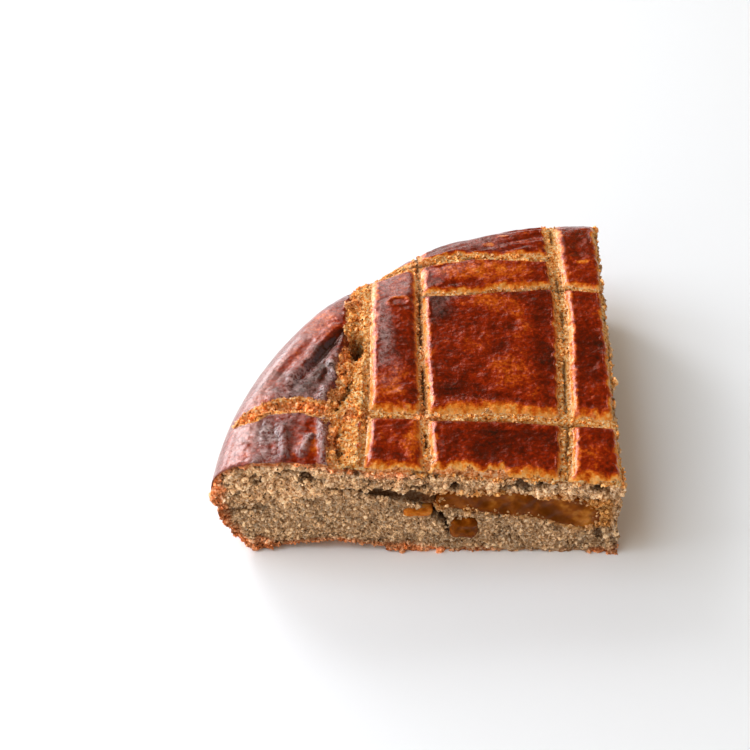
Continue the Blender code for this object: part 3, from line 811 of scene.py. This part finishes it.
def colour_masks(surface, top, faces, carved, cut_side):
    """Masks of the crumb's colours: opened by the oven, browned, painted shade in holes, soaked, or coarse.
    """
    place, u, v, radius, height = surface.place, surface.u, surface.v, surface.radius, surface.height
    below, uncut = surface.below_skin, 1.0 - cut_side
    scorched = bumps(place, 2.6, 88) + 0.4 * bumps(place, 1.1, 89) + ramp(u, 73.0, 78.0)
    lumps = top.loose * ramp(scorched, -0.5, 0.4)
    browner = 0.45 * ramp(np.abs(u - 51.5), 5.0, 3.0) * ramp(v, 15.0, 20.0)
    fringe = 0.75 * ramp(np.abs(u - 38.0), 15.0, 11.0) * ramp(v, 4.5, 3.5)
    browner = np.maximum(0.6 * lumps, top.bare * np.maximum(browner, fringe)) * uncut
    floor, ceiling = surface.pocket_floor, surface.pocket_ceiling
    inner = ramp(height, floor - 0.6, floor + 0.4) * ramp(height, ceiling + 1.2, ceiling)
    inner *= ramp(radius, 46.0, 48.0) * ramp(radius, 70.0, 66.0) * ramp(np.minimum(u, v), 0.3, 1.2)
    # Painted shade: pits and crevices of the cut faces, their cracks, the tear's hole and cracks, the cavity
    # walls round the pocket and the knife's slits go dark where shade falls.
    painted_hole_shades = (
        faces.pits * (surface.front + surface.right),
        carved * surface.front * 0.5,
        0.9 * surface.pit() * surface.follow,
        0.7 * surface.cracks() * top.torn * surface.follow,
        0.8 * inner,
        0.8 * top.slit * top.bare * ramp(below, 3.0, 1.5),
    )
    opened = np.maximum(0.9 * top.torn, top.bare) * ramp(below, 9.0, 5.0)
    coarse = ramp(height + 1.5 * bumps(place, 4.0, 86), 16.0, 21.0) * ramp(v, 6.0, 3.0)
    return {
        "torn": opened * (1.0 - cut_side * ramp(below, 0.8, 2.0)),
        "crust": np.maximum(crust_share(surface, top.bare * uncut), browner),
        "hollow": np.maximum.reduce(painted_hole_shades),
        "moist": moisture(surface),
        "coarse": coarse * ramp(below, 0.8, 2.0),
    }


def grain_masks(surface, top, faces, carved, cut_side):
    """Masks of where loose crumb lies: on the cut faces, in the scores and the tear, and under the base."""
    u, v, height, radius = surface.u, surface.v, surface.height, surface.radius
    below, thick = surface.below_skin, surface.base_crust
    cut_crumb = cut_side * (1.0 - 0.7 * ramp(carved, 0.5, 1.5)) * (1.0 - 0.7 * faces.crevices)
    lip = ramp(np.abs(height - surface.pocket_floor), 1.2, 0.5) * ramp(radius, 48.0, 45.0)
    cut_crumb *= 1.0 - 0.85 * lip * ramp(radius, 5.0, 8.0)
    cut_crumb *= 1.0 - 0.8 * ramp(below, 2.2, 1.2) * ramp(u, 64.0, 70.0)
    cut_crumb *= 1.0 - 0.7 * ramp(height, 2.2, 1.0) * ramp(thick, 1.4, 0.8)
    on_right = surface.right * ramp(v, 1.0, 3.0)
    on_top = top.bare * (1.0 - cut_side) * ramp(below, 5.0, 4.0) * ramp(np.minimum(u, v), 0.5, 1.5)
    low_edge = np.maximum.reduce([ramp(v, 1.5, 0.5), ramp(u, 1.5, 0.5), 0.6 * surface.rim])
    low_edge *= ramp(height, 2.4, 0.9) * ramp(thick, 1.0, 2.4)
    return {
        "cut_crumb": cut_crumb * (1.0 - on_right),
        "right_crumb": cut_crumb * on_right,
        "top_crumb": on_top * (1.0 - top.slit),
        "tear_crumb": on_top * top.torn * (0.55 + 0.45 * top.loose),
        "tear_rubble": on_top * top.loose,
        "base_crumb": low_edge * ramp(bumps(surface.place, 5.0, 87), -0.5, 0.3),
    }


def shape_cake(mesh):
    """Moves each point of the plain quarter to its place on the baked and cut cake, and stores its masks."""
    surface = Surface(read_points(mesh))
    top, faces, carved = sink_top(surface), cut_face_relief(surface), front_carvings(surface)
    write_points(mesh, baked_places(surface, top, faces, carved))
    cut_side = np.maximum(ramp(surface.v, 0.7, 0.25), ramp(surface.u, 0.7, 0.25))
    cut_side *= ramp(surface.below_skin, 0.25, 0.8)
    write_masks(mesh, skin_masks(surface, top, cut_side))
    write_masks(mesh, colour_masks(surface, top, faces, carved, cut_side))
    write_masks(mesh, grain_masks(surface, top, faces, carved, cut_side))


def browning(surface, margin):
    """How dark the glaze baked, from 0 at a tile's pale edge to 1 where it nearly burnt."""
    on_top = surface.on_top
    tone = 0.66 + 0.10 * bumps(on_top, 9.0, 101) + 0.09 * bumps(on_top, 2.8, 102)
    tone += 0.06 * bumps(on_top, 1.2, 104)
    shifted = 2.0 * ramp(surface.radius, 90.0, 80.0)
    u = on_top[:, 0] + shifted * bumps(on_top, 6.0, 107)
    v = on_top[:, 1] + shifted * bumps(on_top, 6.0, 108)
    for *oval, change in TONES:
        tone = tone + change * spot(u, v, *oval)
    for *line, change in TONE_STREAKS:
        tone = tone + change * streak(u, v, *line)
    tone -= 0.25 * surface.blister()
    edge = ramp(margin + 0.25 * bumps(on_top, 1.3, 103), -0.15, 1.1)
    return edge * np.clip(tone, 0.15, 1.0) * (0.25 + 0.75 * surface.hem())


def painted_sheen_mask(surface):
    """How much of the glaze is crinkled and painted with a pale sheen, a painted reflection: in spots, on
    the smooth rim, along the tear's lip and on the curled ridges.
    """
    u, v, _ = surface.on_top.T
    patchy = 0.75 + 0.5 * bumps(surface.on_top, 5.0, 105) + 0.4 * bumps(surface.on_top, 1.8, 106)
    lip = np.abs(u - between(TEAR_COURSE, v) - TEAR_OUTER_WIDTH + 0.6 * bumps(surface.on_top, 3.0, 110))
    shares = [much * spot(u, v, *oval) for *oval, much in PAINTED_SHEEN_SPOTS]
    shares.append(0.9 * ramp(surface.radius, *RIM_SHEEN_FROM) * ramp(surface.turn, *RIM_SHEEN_TO))
    shares.append(0.85 * ramp(lip, 1.9, 0.6) * ramp(v, 46.0, 38.0))
    shares.append(surface.curls())
    dark = sum(change * streak(u, v, *line) for *line, change in TONE_STREAKS)
    return np.clip(np.maximum.reduce(shares) * patchy * (1.0 - 2.0 * dark), 0.0, 1.0)


def crust_share(surface, opened):
    """Where crumb turned to brown crust: round the side, under the base and just below the top."""
    place, below, thick = surface.place, surface.below_skin, surface.base_crust
    uneven = 0.8 * bumps(place, 2.2, 111) + 0.4 * bumps(place, 1.1, 112)
    varied = 0.8 + 0.3 * bumps(place, 1.7, 113)
    rim = ramp(surface.inside_side + uneven, 4.4, 2.2) * ramp(surface.height, 30.0, 27.0)
    base = ramp(surface.height + 0.8 * uneven, 1.2 * thick, 0.5 * thick) * ramp(thick, 0.2, 1.4)
    left = ramp(surface.u, 60.0, 67.0)
    top = (0.08 + 0.92 * left) * ramp(below + 0.5 * uneven, 1.0 + 1.6 * left, 0.4 + 0.8 * left)
    top *= 1.0 - opened
    spill = ramp(np.abs(surface.u - 59.5), 8.0, 4.0) * ramp(below + 1.5 * uneven, 4.5, 2.5)
    spill *= ramp(surface.v, 2.0, 1.0)
    return np.maximum.reduce([np.minimum(1.0, 1.15 * rim * varied), base * varied, top, 0.7 * spill])


def moisture(surface):
    """Where the filling soaked into the crumb round the space between the layers."""
    radius, height = surface.radius, surface.height
    ceiling = np.where(radius < 8.0, 20.0, surface.pocket_ceiling)
    uneven = 0.8 * bumps(surface.place, 3.0, 121) + 0.4 * bumps(surface.place, 1.3, 122)
    above = ramp(height - ceiling + uneven, 1.6, -0.2)
    below = ramp(surface.pocket_floor - height + uneven, 1.8, -0.2)
    return ramp(radius, 0.0, 2.5) * np.minimum(above, below) * ramp(radius, 54.0, 46.0)


def make_pocket():
    """The space between the layers: a ring where the filling is, and past it a hollow at each cut face."""
    wall = FILLING_END + 1.0
    beyond = turned("beyond", [(0.0, -50.0), (wall, -50.0), (wall, 60.0), (0.0, 60.0)])
    inner = cut(quarter_box(HOLLOW_DEPTH), beyond)
    return cut(turned("pocket", pocket_profile()), inner)


def make_cake(crust, crumb):
    """The baked body of the cake in one closed mesh, with glaze on the tiles and crumb everywhere else."""
    cake = turned("cake_body", cake_profile())
    cut(cake, make_pocket())
    cut(cake, quarter_box(), "INTERSECT")
    even_faces(cake, CAKE_FACE)
    shape_cake(cake.data)
    fewer_faces(cake, CAKE_TRIANGLES)
    mesh = in_frame(cake).data
    mesh.materials.clear()
    mesh.materials.append(crust)
    mesh.materials.append(crumb)
    paint_faces(mesh)
    mesh.shade_smooth()
    return cake


def paint_faces(mesh):
    """Gives each face the glazed crust or the crumb, whichever its points mostly are."""
    corners = np.empty(len(mesh.loops), np.int32)
    mesh.loops.foreach_get("vertex_index", corners)
    glaze = np.empty(len(mesh.vertices), np.float32)
    mesh.attributes["glaze"].data.foreach_get("value", glaze)
    glaze = glaze[corners.reshape(-1, 3)].mean(axis=1)
    mesh.polygons.foreach_set("material_index", np.where(glaze > 0.5, 0, 1).astype(np.int32))
    mesh.update()


# ---------------------------------------------------------------- filling and fruit


def make_filling(material):
    """The filling in one closed mesh, drawn in a little from the cut faces and softly uneven there."""
    filling = turned("soft_filling", filling_profile())
    cut(filling, quarter_box(FILLING_RECESS), "INTERSECT")
    even_faces(filling, FILLING_FACE)
    points = read_points(filling.data)
    place = points * (-1.0, 1.0, 1.0)
    u, v, height = place.T
    soft = 0.55 * bumps(place, 7.0, 131) + 0.45 * bumps(place, 2.6, 132) + 0.20 * bumps(place, 1.3, 133)
    points[:, 1] -= soft * ramp(v - FILLING_RECESS, 1.2, 0.0)
    points[:, 0] += soft * ramp(u - FILLING_RECESS, 1.2, 0.0)
    write_points(filling.data, points)
    radius = np.hypot(u, v)
    gap = np.minimum(between(POCKET_CEILING, radius) - height, height - between(POCKET_FLOOR, radius))
    ends = np.maximum(ramp(radius, 8.0, 4.0), ramp(radius, FILLING_END - 3.0, FILLING_END))
    near_crumb = np.maximum(ramp(gap + 0.8 * bumps(place, 2.4, 134), 1.5, 0.3), 0.8 * ends)
    masks = {
        "stuck_crumb": near_crumb * np.maximum(ramp(v, 1.5, 0.8), ramp(u, 1.5, 0.8)),
        "moist": np.full(len(points), 0.55),
        "clear": ramp(radius, 17.0, 7.0) + 0.3 * bumps(place, 4.0, 135),
    }
    write_masks(filling.data, masks)
    fewer_faces(filling, FILLING_TRIANGLES)
    filling.data.materials.clear()
    filling.data.materials.append(material)
    filling.data.shade_smooth()
    return in_frame(filling)


def make_fruit(name, at, half, seed, material):
    """A soft uneven block of fruit set into the front face."""
    bpy.ops.mesh.primitive_cube_add(size=2.0)
    fruit = bpy.context.active_object
    fruit.name = name
    move_to(fruit, bpy.context.scene.collection)
    rounding = fruit.modifiers.new("rounding", "SUBSURF")
    rounding.levels = rounding.render_levels = FRUIT_ROUNDINGS
    applied(fruit)
    points = read_points(fruit.data)
    points /= np.sum(np.abs(points) ** FRUIT_SQUARENESS, axis=1, keepdims=True) ** (1.0 / FRUIT_SQUARENESS)
    size = np.array(half) + FRUIT_OVERLAP
    swell = 1.0 + 0.03 * bumps(points, 1.6, seed) + 0.05 * bumps(points, 0.35, seed + 1)
    middle = np.array([-at[0], half[1] - FRUIT_PROUD, at[1]])
    write_points(fruit.data, middle + points * swell[:, None] * size)
    fruit.data.materials.append(material)
    fruit.data.shade_smooth()
    return in_frame(fruit)


# ---------------------------------------------------------------- nodes


def linear(colour):
    """The linear colour of an sRGB hex value."""
    channels = [int(colour[start : start + 2], 16) / 255 for start in (1, 3, 5)]
    return (*[c / 12.92 if c <= 0.04045 else ((c + 0.055) / 1.055) ** 2.4 for c in channels], 1.0)


def add(tree, kind, inputs=None, **settings):
    """Adds a node. Each input, by its name or place, is given a value or the output that feeds it."""
    node = tree.nodes.new(kind)
    for name, value in settings.items():
        setattr(node, name, value)
    for key, value in (inputs or {}).items():
        if isinstance(value, bpy.types.NodeSocket):
            tree.links.new(value, node.inputs[key])
        else:
            node.inputs[key].default_value = value
    return node


def sums(tree, operation, *values):
    """One step of arithmetic."""
    return add(tree, "ShaderNodeMath", dict(enumerate(values)), operation=operation).outputs[0]


def scaled(tree, vector, by):
    """A vector, or a colour, times a number."""
    return add(tree, "ShaderNodeVectorMath", {0: vector, "Scale": by}, operation="SCALE").outputs[0]


def spread(tree, value, low, high, to_low=0.0, to_high=1.0):
    """The value, with the range from low to high stretched over the other range."""
    ranges = {"From Min": low, "From Max": high, "To Min": to_low, "To Max": to_high}
    return add(tree, "ShaderNodeMapRange", {"Value": value, **ranges}).outputs[0]


def stored(tree, name):
    """The mask that the mesh keeps under this name."""
    return add(tree, "ShaderNodeAttribute", attribute_name=name).outputs["Fac"]


def noise(tree, scale, detail, **more):
    """Smooth random shades in the piece's own space. Scale is in bumps to the metre."""
    place = add(tree, "ShaderNodeTexCoord").outputs["Object"]
    inputs = {"Vector": place, "Scale": scale, "Detail": detail, **more}
    return add(tree, "ShaderNodeTexNoise", inputs).outputs["Fac"]


def shades(tree, value, *stops):
    """The colour that the value picks from a row of positions and sRGB hex colours."""
    node = add(tree, "ShaderNodeValToRGB", {"Fac": value})
    row = node.color_ramp.elements
    while len(row) < len(stops):
        row.new(0.5)
    for element, (position, colour) in zip(row, stops):
        element.position = position
        element.color = linear(colour)
    return node.outputs[0]


def blend(tree, share, one, other):
    """The one colour, going over to the other as the share rises to 1. The node has them at 6 and 7."""
    return add(tree, "ShaderNodeMix", {0: share, 6: one, 7: other}, data_type="RGBA").outputs[2]


def raised(tree, height, strength, distance, under=None):
    """The normal of a surface raised by the height, over the bumps under it. Distance is in metres."""
    inputs = {"Height": height, "Strength": strength, "Distance": distance}
    if under is not None:
        inputs["Normal"] = under
    return add(tree, "ShaderNodeBump", inputs).outputs[0]


def new_material(name):
    """An empty material and its node tree."""
    material = bpy.data.materials.new(name)
    material.use_nodes = True
    material.node_tree.nodes.clear()
    return material, material.node_tree


def shine(tree, inputs):
    """Ends a material with one shader that has these inputs."""
    shader = add(tree, "ShaderNodeBsdfPrincipled", inputs)
    add(tree, "ShaderNodeOutputMaterial", {"Surface": shader.outputs[0]})


# ---------------------------------------------------------------- loose crumb


def grain_tree():
    """Geometry Nodes that strew small uneven grains over a surface, where one of its masks says so."""
    tree = bpy.data.node_groups.new("strewn_grains", "GeometryNodeTree")
    tree.interface.new_socket("Geometry", in_out="OUTPUT", socket_type="NodeSocketGeometry")
    for name, kind in GRAIN_INPUTS:
        tree.interface.new_socket(name, in_out="INPUT", socket_type=kind)
    given = add(tree, "NodeGroupInput").outputs
    scattering = {
        "Mesh": given["Geometry"],
        "Distance Min": given["Apart"],
        "Density Max": given["Per Square Metre"],
        "Density Factor": under_grain(tree, given["Where"]),
        "Seed": given["Seed"],
    }
    points = add(tree, "GeometryNodeDistributePointsOnFaces", scattering, distribute_method="POISSON")
    ball = add(tree, "GeometryNodeMeshIcoSphere", {"Radius": 1.0, "Subdivisions": 1})
    scale, turn = grain_size_and_turn(tree, given)
    placing = {
        "Points": points.outputs["Points"],
        "Instance": ball.outputs["Mesh"],
        "Rotation": turn,
        "Scale": scale,
    }
    strewn = add(tree, "GeometryNodeInstanceOnPoints", placing)
    toning = {"Geometry": strewn.outputs[0], "Name": "tone", "Value": random_share(tree, 7)}
    toned = add(tree, "GeometryNodeStoreNamedAttribute", toning, data_type="FLOAT", domain="INSTANCE")
    real = add(tree, "GeometryNodeRealizeInstances", {"Geometry": toned.outputs[0]})
    uneven = add(tree, "GeometryNodeSetPosition", {"Geometry": real.outputs[0], "Offset": grain_shake(tree)})
    facets = add(tree, "GeometryNodeSetShadeSmooth", {"Geometry": uneven.outputs[0], "Shade Smooth": False})
    dressing = {"Geometry": facets.outputs[0], "Material": given["Material"]}
    dressed = add(tree, "GeometryNodeSetMaterial", dressing)
    add(tree, "NodeGroupOutput", {"Geometry": dressed.outputs[0]})
    return tree


def under_grain(tree, name):
    """The mask of this name, on the surface that the grains are strewn over."""
    mask = add(tree, "GeometryNodeInputNamedAttribute", {"Name": name}, data_type="FLOAT")
    return mask.outputs["Attribute"]


def random_share(tree, seed):
    """A random number from 0 to 1 for each grain. The node has its numbers at inputs 2 and 3."""
    draw = add(tree, "FunctionNodeRandomValue", {2: 0.0, 3: 1.0, "Seed": seed}, data_type="FLOAT")
    return draw.outputs[1]


def random_vector(tree, low, high, seed):
    """Three random numbers for each grain. The node has its vectors at inputs 0 and 1."""
    ends = {0: (low, low, low), 1: (high, high, high), "Seed": seed}
    return add(tree, "FunctionNodeRandomValue", ends, data_type="FLOAT_VECTOR").outputs[0]


def grain_size_and_turn(tree, given):
    """Random size and turn of each grain: mostly small, larger in coarse crumb, and squashed a little."""
    share = sums(tree, "POWER", random_share(tree, given["Seed"]), RARITY_OF_LARGE)
    size = spread(tree, share, 0.0, 1.0, given["Smallest"], given["Largest"])
    growth = sums(tree, "MULTIPLY_ADD", under_grain(tree, "coarse"), COARSE_GROWTH, 1.0)
    scale = scaled(tree, random_vector(tree, *SQUASH, 0), sums(tree, "MULTIPLY", size, growth))
    return scale, random_vector(tree, 0.0, FULL_TURN, 5)


def grain_shake(tree):
    """A small random offset by place, which makes each grain uneven."""
    place = add(tree, "GeometryNodeInputPosition").outputs[0]
    rough = add(tree, "ShaderNodeTexNoise", {"Vector": place, "Scale": SHAKE_BUMPS, "Detail": 1.0})
    middle = {0: rough.outputs["Color"], 1: (0.5, 0.5, 0.5)}
    centred = add(tree, "ShaderNodeVectorMath", middle, operation="SUBTRACT")
    return scaled(tree, centred.outputs[0], SHAKE_REACH)


def strew(row, over, tree, material):
    """One plain mesh of grains over a piece, as this row of LOOSE_CRUMB says, in millimetres."""
    name, where, apart, smallest, largest, seed = row
    crumb = bpy.data.objects.new(name, over.data.copy())
    bpy.context.scene.collection.objects.link(crumb)
    strewing = crumb.modifiers.new("strewn grains", "NODES")
    strewing.node_group = tree
    values = {
        "Where": where,
        "Apart": apart * METRES,
        "Per Square Metre": POINTS_TRIED / (apart * METRES) ** 2,
        "Smallest": smallest * METRES,
        "Largest": largest * METRES,
        "Seed": seed,
        "Material": material,
    }
    for item in tree.interface.items_tree:
        if item.in_out == "INPUT" and item.name in values:
            strewing[item.identifier] = values[item.name]
    return applied(crumb)


# ---------------------------------------------------------------- materials


def egg_washed_crust():
    """Egg wash, baked twice: a clear brown film, glossy over fine blisters, paler at its edges, with painted
    sheen and glints.
    """
    material, tree = new_material("egg_washed_crust")
    bake, painted_film, settled = (stored(tree, name) for name in ("bake", "bloom", "settled"))
    mottle = noise(tree, 1000.0, 4.0, Roughness=0.7)
    cloud = noise(tree, 230.0, 3.0, Roughness=0.6)
    varied = sums(tree, "MULTIPLY_ADD", sums(tree, "SUBTRACT", mottle, 0.5), 0.90, bake)
    varied = sums(tree, "MULTIPLY_ADD", sums(tree, "SUBTRACT", cloud, 0.5), 0.45, varied)
    colour = shades(
        tree,
        varied,
        (0.00, "#E8A860"),
        (0.13, "#E48A32"),
        (0.30, "#C4540E"),
        (0.52, "#8C2003"),
        (0.74, "#5C0E01"),
        (1.00, "#220604"),
    )
    # Painted reflection: pale pink glints in the crinkles and a dull mauve sheen on the smooth rim, where
    # the sheen masks say.
    crinkles = noise(tree, 820.0, 5.0, Roughness=0.8, Distortion=0.4)
    painted_glints = spread(tree, crinkles, 0.44, 0.54)
    whole = sums(tree, "MAXIMUM", painted_glints, sums(tree, "MULTIPLY", settled, 0.55))
    painted_sheen_colour = blend(tree, settled, linear("#F4CEC6"), linear("#8E625A"))
    with_painted_sheen = blend(tree, sums(tree, "MULTIPLY", whole, painted_film), colour, painted_sheen_colour)
    free = sums(tree, "MULTIPLY", sums(tree, "SUBTRACT", 1.0, settled), painted_film)
    normal = raised(tree, sums(tree, "MULTIPLY", crinkles, free), 1.0, 0.0036)
    hammered = sums(tree, "MULTIPLY", noise(tree, 330.0, 2.0), spread(tree, bake, 0.78, 0.50, 0.25, 1.0))
    normal = raised(tree, hammered, 0.80, 0.0015, normal)
    normal = raised(tree, noise(tree, 1000.0, 3.0), 0.4, 0.0004, normal)
    inputs = {
        "Base Color": with_painted_sheen,
        "Roughness": spread(tree, mottle, 0.3, 0.7, 0.18, 0.32),
        "Normal": normal,
        "IOR": 1.48,
        "Specular Tint": linear("#FF8440"),
        "Specular IOR Level": 0.45,
        "Coat Weight": 0.36,
        "Coat Roughness": 0.09,
    }
    shine(tree, inputs)
    return material


def buckwheat_crumb():
    """Baked buckwheat dough, cut or torn: dull tan grains, dark specks of hull, browner near the crust,
    painted shade in holes and gaps.
    """
    material, tree = new_material("buckwheat_crumb")
    torn, crust, hollow, moist, tone, coarse = (
        stored(tree, name) for name in ("torn", "crust", "hollow", "moist", "tone", "coarse")
    )
    grain = noise(tree, 1100.0, 4.0, Roughness=0.75)
    plain = shades(tree, grain, (0.32, "#4E2A0C"), (0.43, "#BE8A5A"), (0.53, "#E8BE92"), (0.64, "#FCE4C6"))
    orange = shades(tree, grain, (0.34, "#7C3206"), (0.43, "#E27C26"), (0.51, "#FFB254"), (0.60, "#FFDEA8"))
    brown = shades(tree, grain, (0.34, "#843610"), (0.44, "#D06A2C"), (0.54, "#F0945A"), (0.66, "#FCCCA0"))
    wet = shades(tree, grain, (0.34, "#824410"), (0.48, "#D48C42"), (0.64, "#FFC880"))
    patches = spread(tree, noise(tree, 150.0, 3.0, Roughness=0.65), 0.35, 0.60, 0.80, 1.24)
    colour = blend(tree, sums(tree, "MULTIPLY", tone, 0.35), plain, linear("#F4D6A4"))
    colour = blend(tree, torn, colour, orange)
    colour = blend(tree, moist, colour, wet)
    colour = blend(tree, crust, colour, scaled(tree, brown, patches))
    # Paler grains of random tone and paler coarse crumb; the surface under the grains has no tone and stays
    # darker, painted shade in the gaps.
    tone_and_painted_gap_shade = sums(tree, "MULTIPLY_ADD", coarse, 0.20, 0.68)
    tone_and_painted_gap_shade = sums(tree, "MULTIPLY_ADD", torn, 0.05, tone_and_painted_gap_shade)
    tone_and_painted_gap_shade = sums(tree, "MULTIPLY_ADD", tone, 0.64, tone_and_painted_gap_shade)
    colour = scaled(tree, colour, tone_and_painted_gap_shade)
    place = add(tree, "ShaderNodeTexCoord").outputs["Object"]
    specks = add(tree, "ShaderNodeTexVoronoi", {"Vector": place, "Scale": 520.0, "Randomness": 1.0})
    colour = blend(tree, spread(tree, specks.outputs["Distance"], 0.10, 0.18), linear("#42260A"), colour)
    # Painted shade: holes, cracks, slits and the cavity are painted near black-brown.
    colour = blend(tree, hollow, colour, linear("#3A1A02"))
    inputs = {
        "Base Color": colour,
        "Roughness": 0.85,
        "IOR": 1.4,
        "Specular IOR Level": 0.3,
        "Normal": raised(tree, noise(tree, 1600.0, 4.0, Roughness=0.7), 0.8, 0.0004),
    }
    shine(tree, inputs)
    return material


def cooked_fruit(name, grain_scale, rough, *stops):
    """Fruit cooked in syrup until clear: moist, amber, with cloudy pulp in it."""
    material, tree = new_material(name)
    pulp = noise(tree, grain_scale, 3.0, Roughness=0.6)
    inputs = {
        "Base Color": shades(tree, sums(tree, "MULTIPLY_ADD", stored(tree, "clear"), 0.18, pulp), *stops),
        "Roughness": rough,
        "IOR": 1.42,
        "Specular Tint": linear("#FF9834"),
        "Specular IOR Level": 0.20,
        "Subsurface Weight": 0.35,
        "Subsurface Radius": (0.003, 0.0012, 0.0004),
        "Subsurface Scale": 1.0,
        "Normal": raised(tree, noise(tree, 900.0, 3.0), 0.25, 0.0003),
    }
    shine(tree, inputs)
    return material


def matt_white_table():
    """White laminate: even and matt."""
    material, tree = new_material("matt_white_table")
    shine(tree, {"Base Color": linear("#F4F4F4"), "Roughness": 0.6})
    return material


# ---------------------------------------------------------------- stage


def make_table(material):
    """The table that the cake stands on, which belongs to the stage."""
    bpy.ops.mesh.primitive_plane_add(size=60.0)
    table = bpy.context.active_object
    table.name = "table"
    table.data.materials.append(material)


def make_light(name, azimuth, elevation, size, radiance, colour):
    """A panel of light that faces the cake."""
    turn, tilt = math.radians(azimuth), math.radians(elevation)
    away = Vector((-math.cos(turn) * math.cos(tilt), math.sin(turn) * math.cos(tilt), math.sin(tilt)))
    lamp = bpy.data.lights.new(name, "AREA")
    lamp.shape = "RECTANGLE"
    lamp.size, lamp.size_y = size
    lamp.energy = math.pi * size[0] * size[1] * radiance
    lamp.color = linear(colour)[:3]
    obj = bpy.data.objects.new(name, lamp)
    obj.location = away * LIGHT_DISTANCE
    obj.rotation_euler = (-away).to_track_quat("-Z", "Y").to_euler()
    bpy.context.scene.collection.objects.link(obj)


def light_scene():
    """Tall windows to the left and behind, bright walls round them, and the warm dim light of the room."""
    for panel in PANELS:
        make_light(*panel)
    world = bpy.data.worlds.new("room")
    world.use_nodes = True
    bpy.context.scene.world = world
    tree = world.node_tree
    tree.nodes.clear()
    air = add(tree, "ShaderNodeBackground", {"Color": linear("#FFD384"), "Strength": 0.21})
    add(tree, "ShaderNodeOutputWorld", {"Surface": air.outputs[0]})
    bpy.context.scene.view_settings.view_transform = "Standard"


def place_camera():
    """The camera of a three-quarter view from above, a little to the left of the cake."""
    down, aside, roll = (math.radians(turn) for turn in (CAMERA_DOWN, CAMERA_ASIDE, CAMERA_ROLL))
    forward = Vector((math.sin(aside) * math.cos(down), math.cos(aside) * math.cos(down), -math.sin(down)))
    level = Vector((math.cos(aside), -math.sin(aside), 0.0))
    upward = level.cross(forward)
    right = math.cos(roll) * level + math.sin(roll) * upward
    up = math.cos(roll) * upward - math.sin(roll) * level
    camera = bpy.data.objects.new("camera", bpy.data.cameras.new("camera"))
    camera.data.lens = SENSOR_WIDTH * FOCAL_LENGTH_IN_PIXELS / IMAGE_WIDTH_IN_PIXELS
    camera.data.sensor_width = SENSOR_WIDTH
    turn = Matrix((right, up, -forward)).transposed().to_4x4()
    where = (Vector(CAMERA_AT) + Vector((*TIP_IN_FRAME, 0.0))) * METRES
    camera.matrix_world = Matrix.Translation(where) @ turn
    bpy.context.scene.collection.objects.link(camera)
    bpy.context.scene.camera = camera


# ---------------------------------------------------------------- all of it


def dress(piece, node):
    """Lets the piece ride on the root body, in place of this node, which is hidden."""
    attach(piece, "root")
    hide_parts(node)


def main():
    place_camera()
    light_scene()
    make_table(matt_white_table())
    crumb = buckwheat_crumb()
    cake = make_cake(egg_washed_crust(), crumb)
    tree = grain_tree()
    for row in LOOSE_CRUMB:
        dress(strew(row, cake, tree, crumb), "cake")
    dress(cake, "cake")
    amber = (0.30, "#5A2A06"), (0.48, "#6C3408"), (0.62, "#8A4810"), (0.80, "#C47E30")
    filling = make_filling(cooked_fruit("fruit_cooked_to_caramel", 190.0, 0.10, *amber))
    dress(strew(STUCK_CRUMB, filling, tree, crumb), "cake")
    dress(filling, "filling")
    brown = (0.30, "#4A2200"), (0.52, "#7A3C08"), (0.75, "#A45E18")
    pulp = cooked_fruit("brown_fruit_pulp", 420.0, 0.20, *brown)
    dress(make_fruit("pulp_lump", LUMP_AT, LUMP_HALF, 141, pulp), "fruit_lump")
    orange = (0.30, "#8A420C"), (0.50, "#BC6A1E"), (0.75, "#E09848")
    peel = cooked_fruit("candied_peel", 500.0, 0.22, *orange)
    dress(make_fruit("peel_chip", CHIP_AT, CHIP_HALF, 151, peel), "fruit_chip")


main()
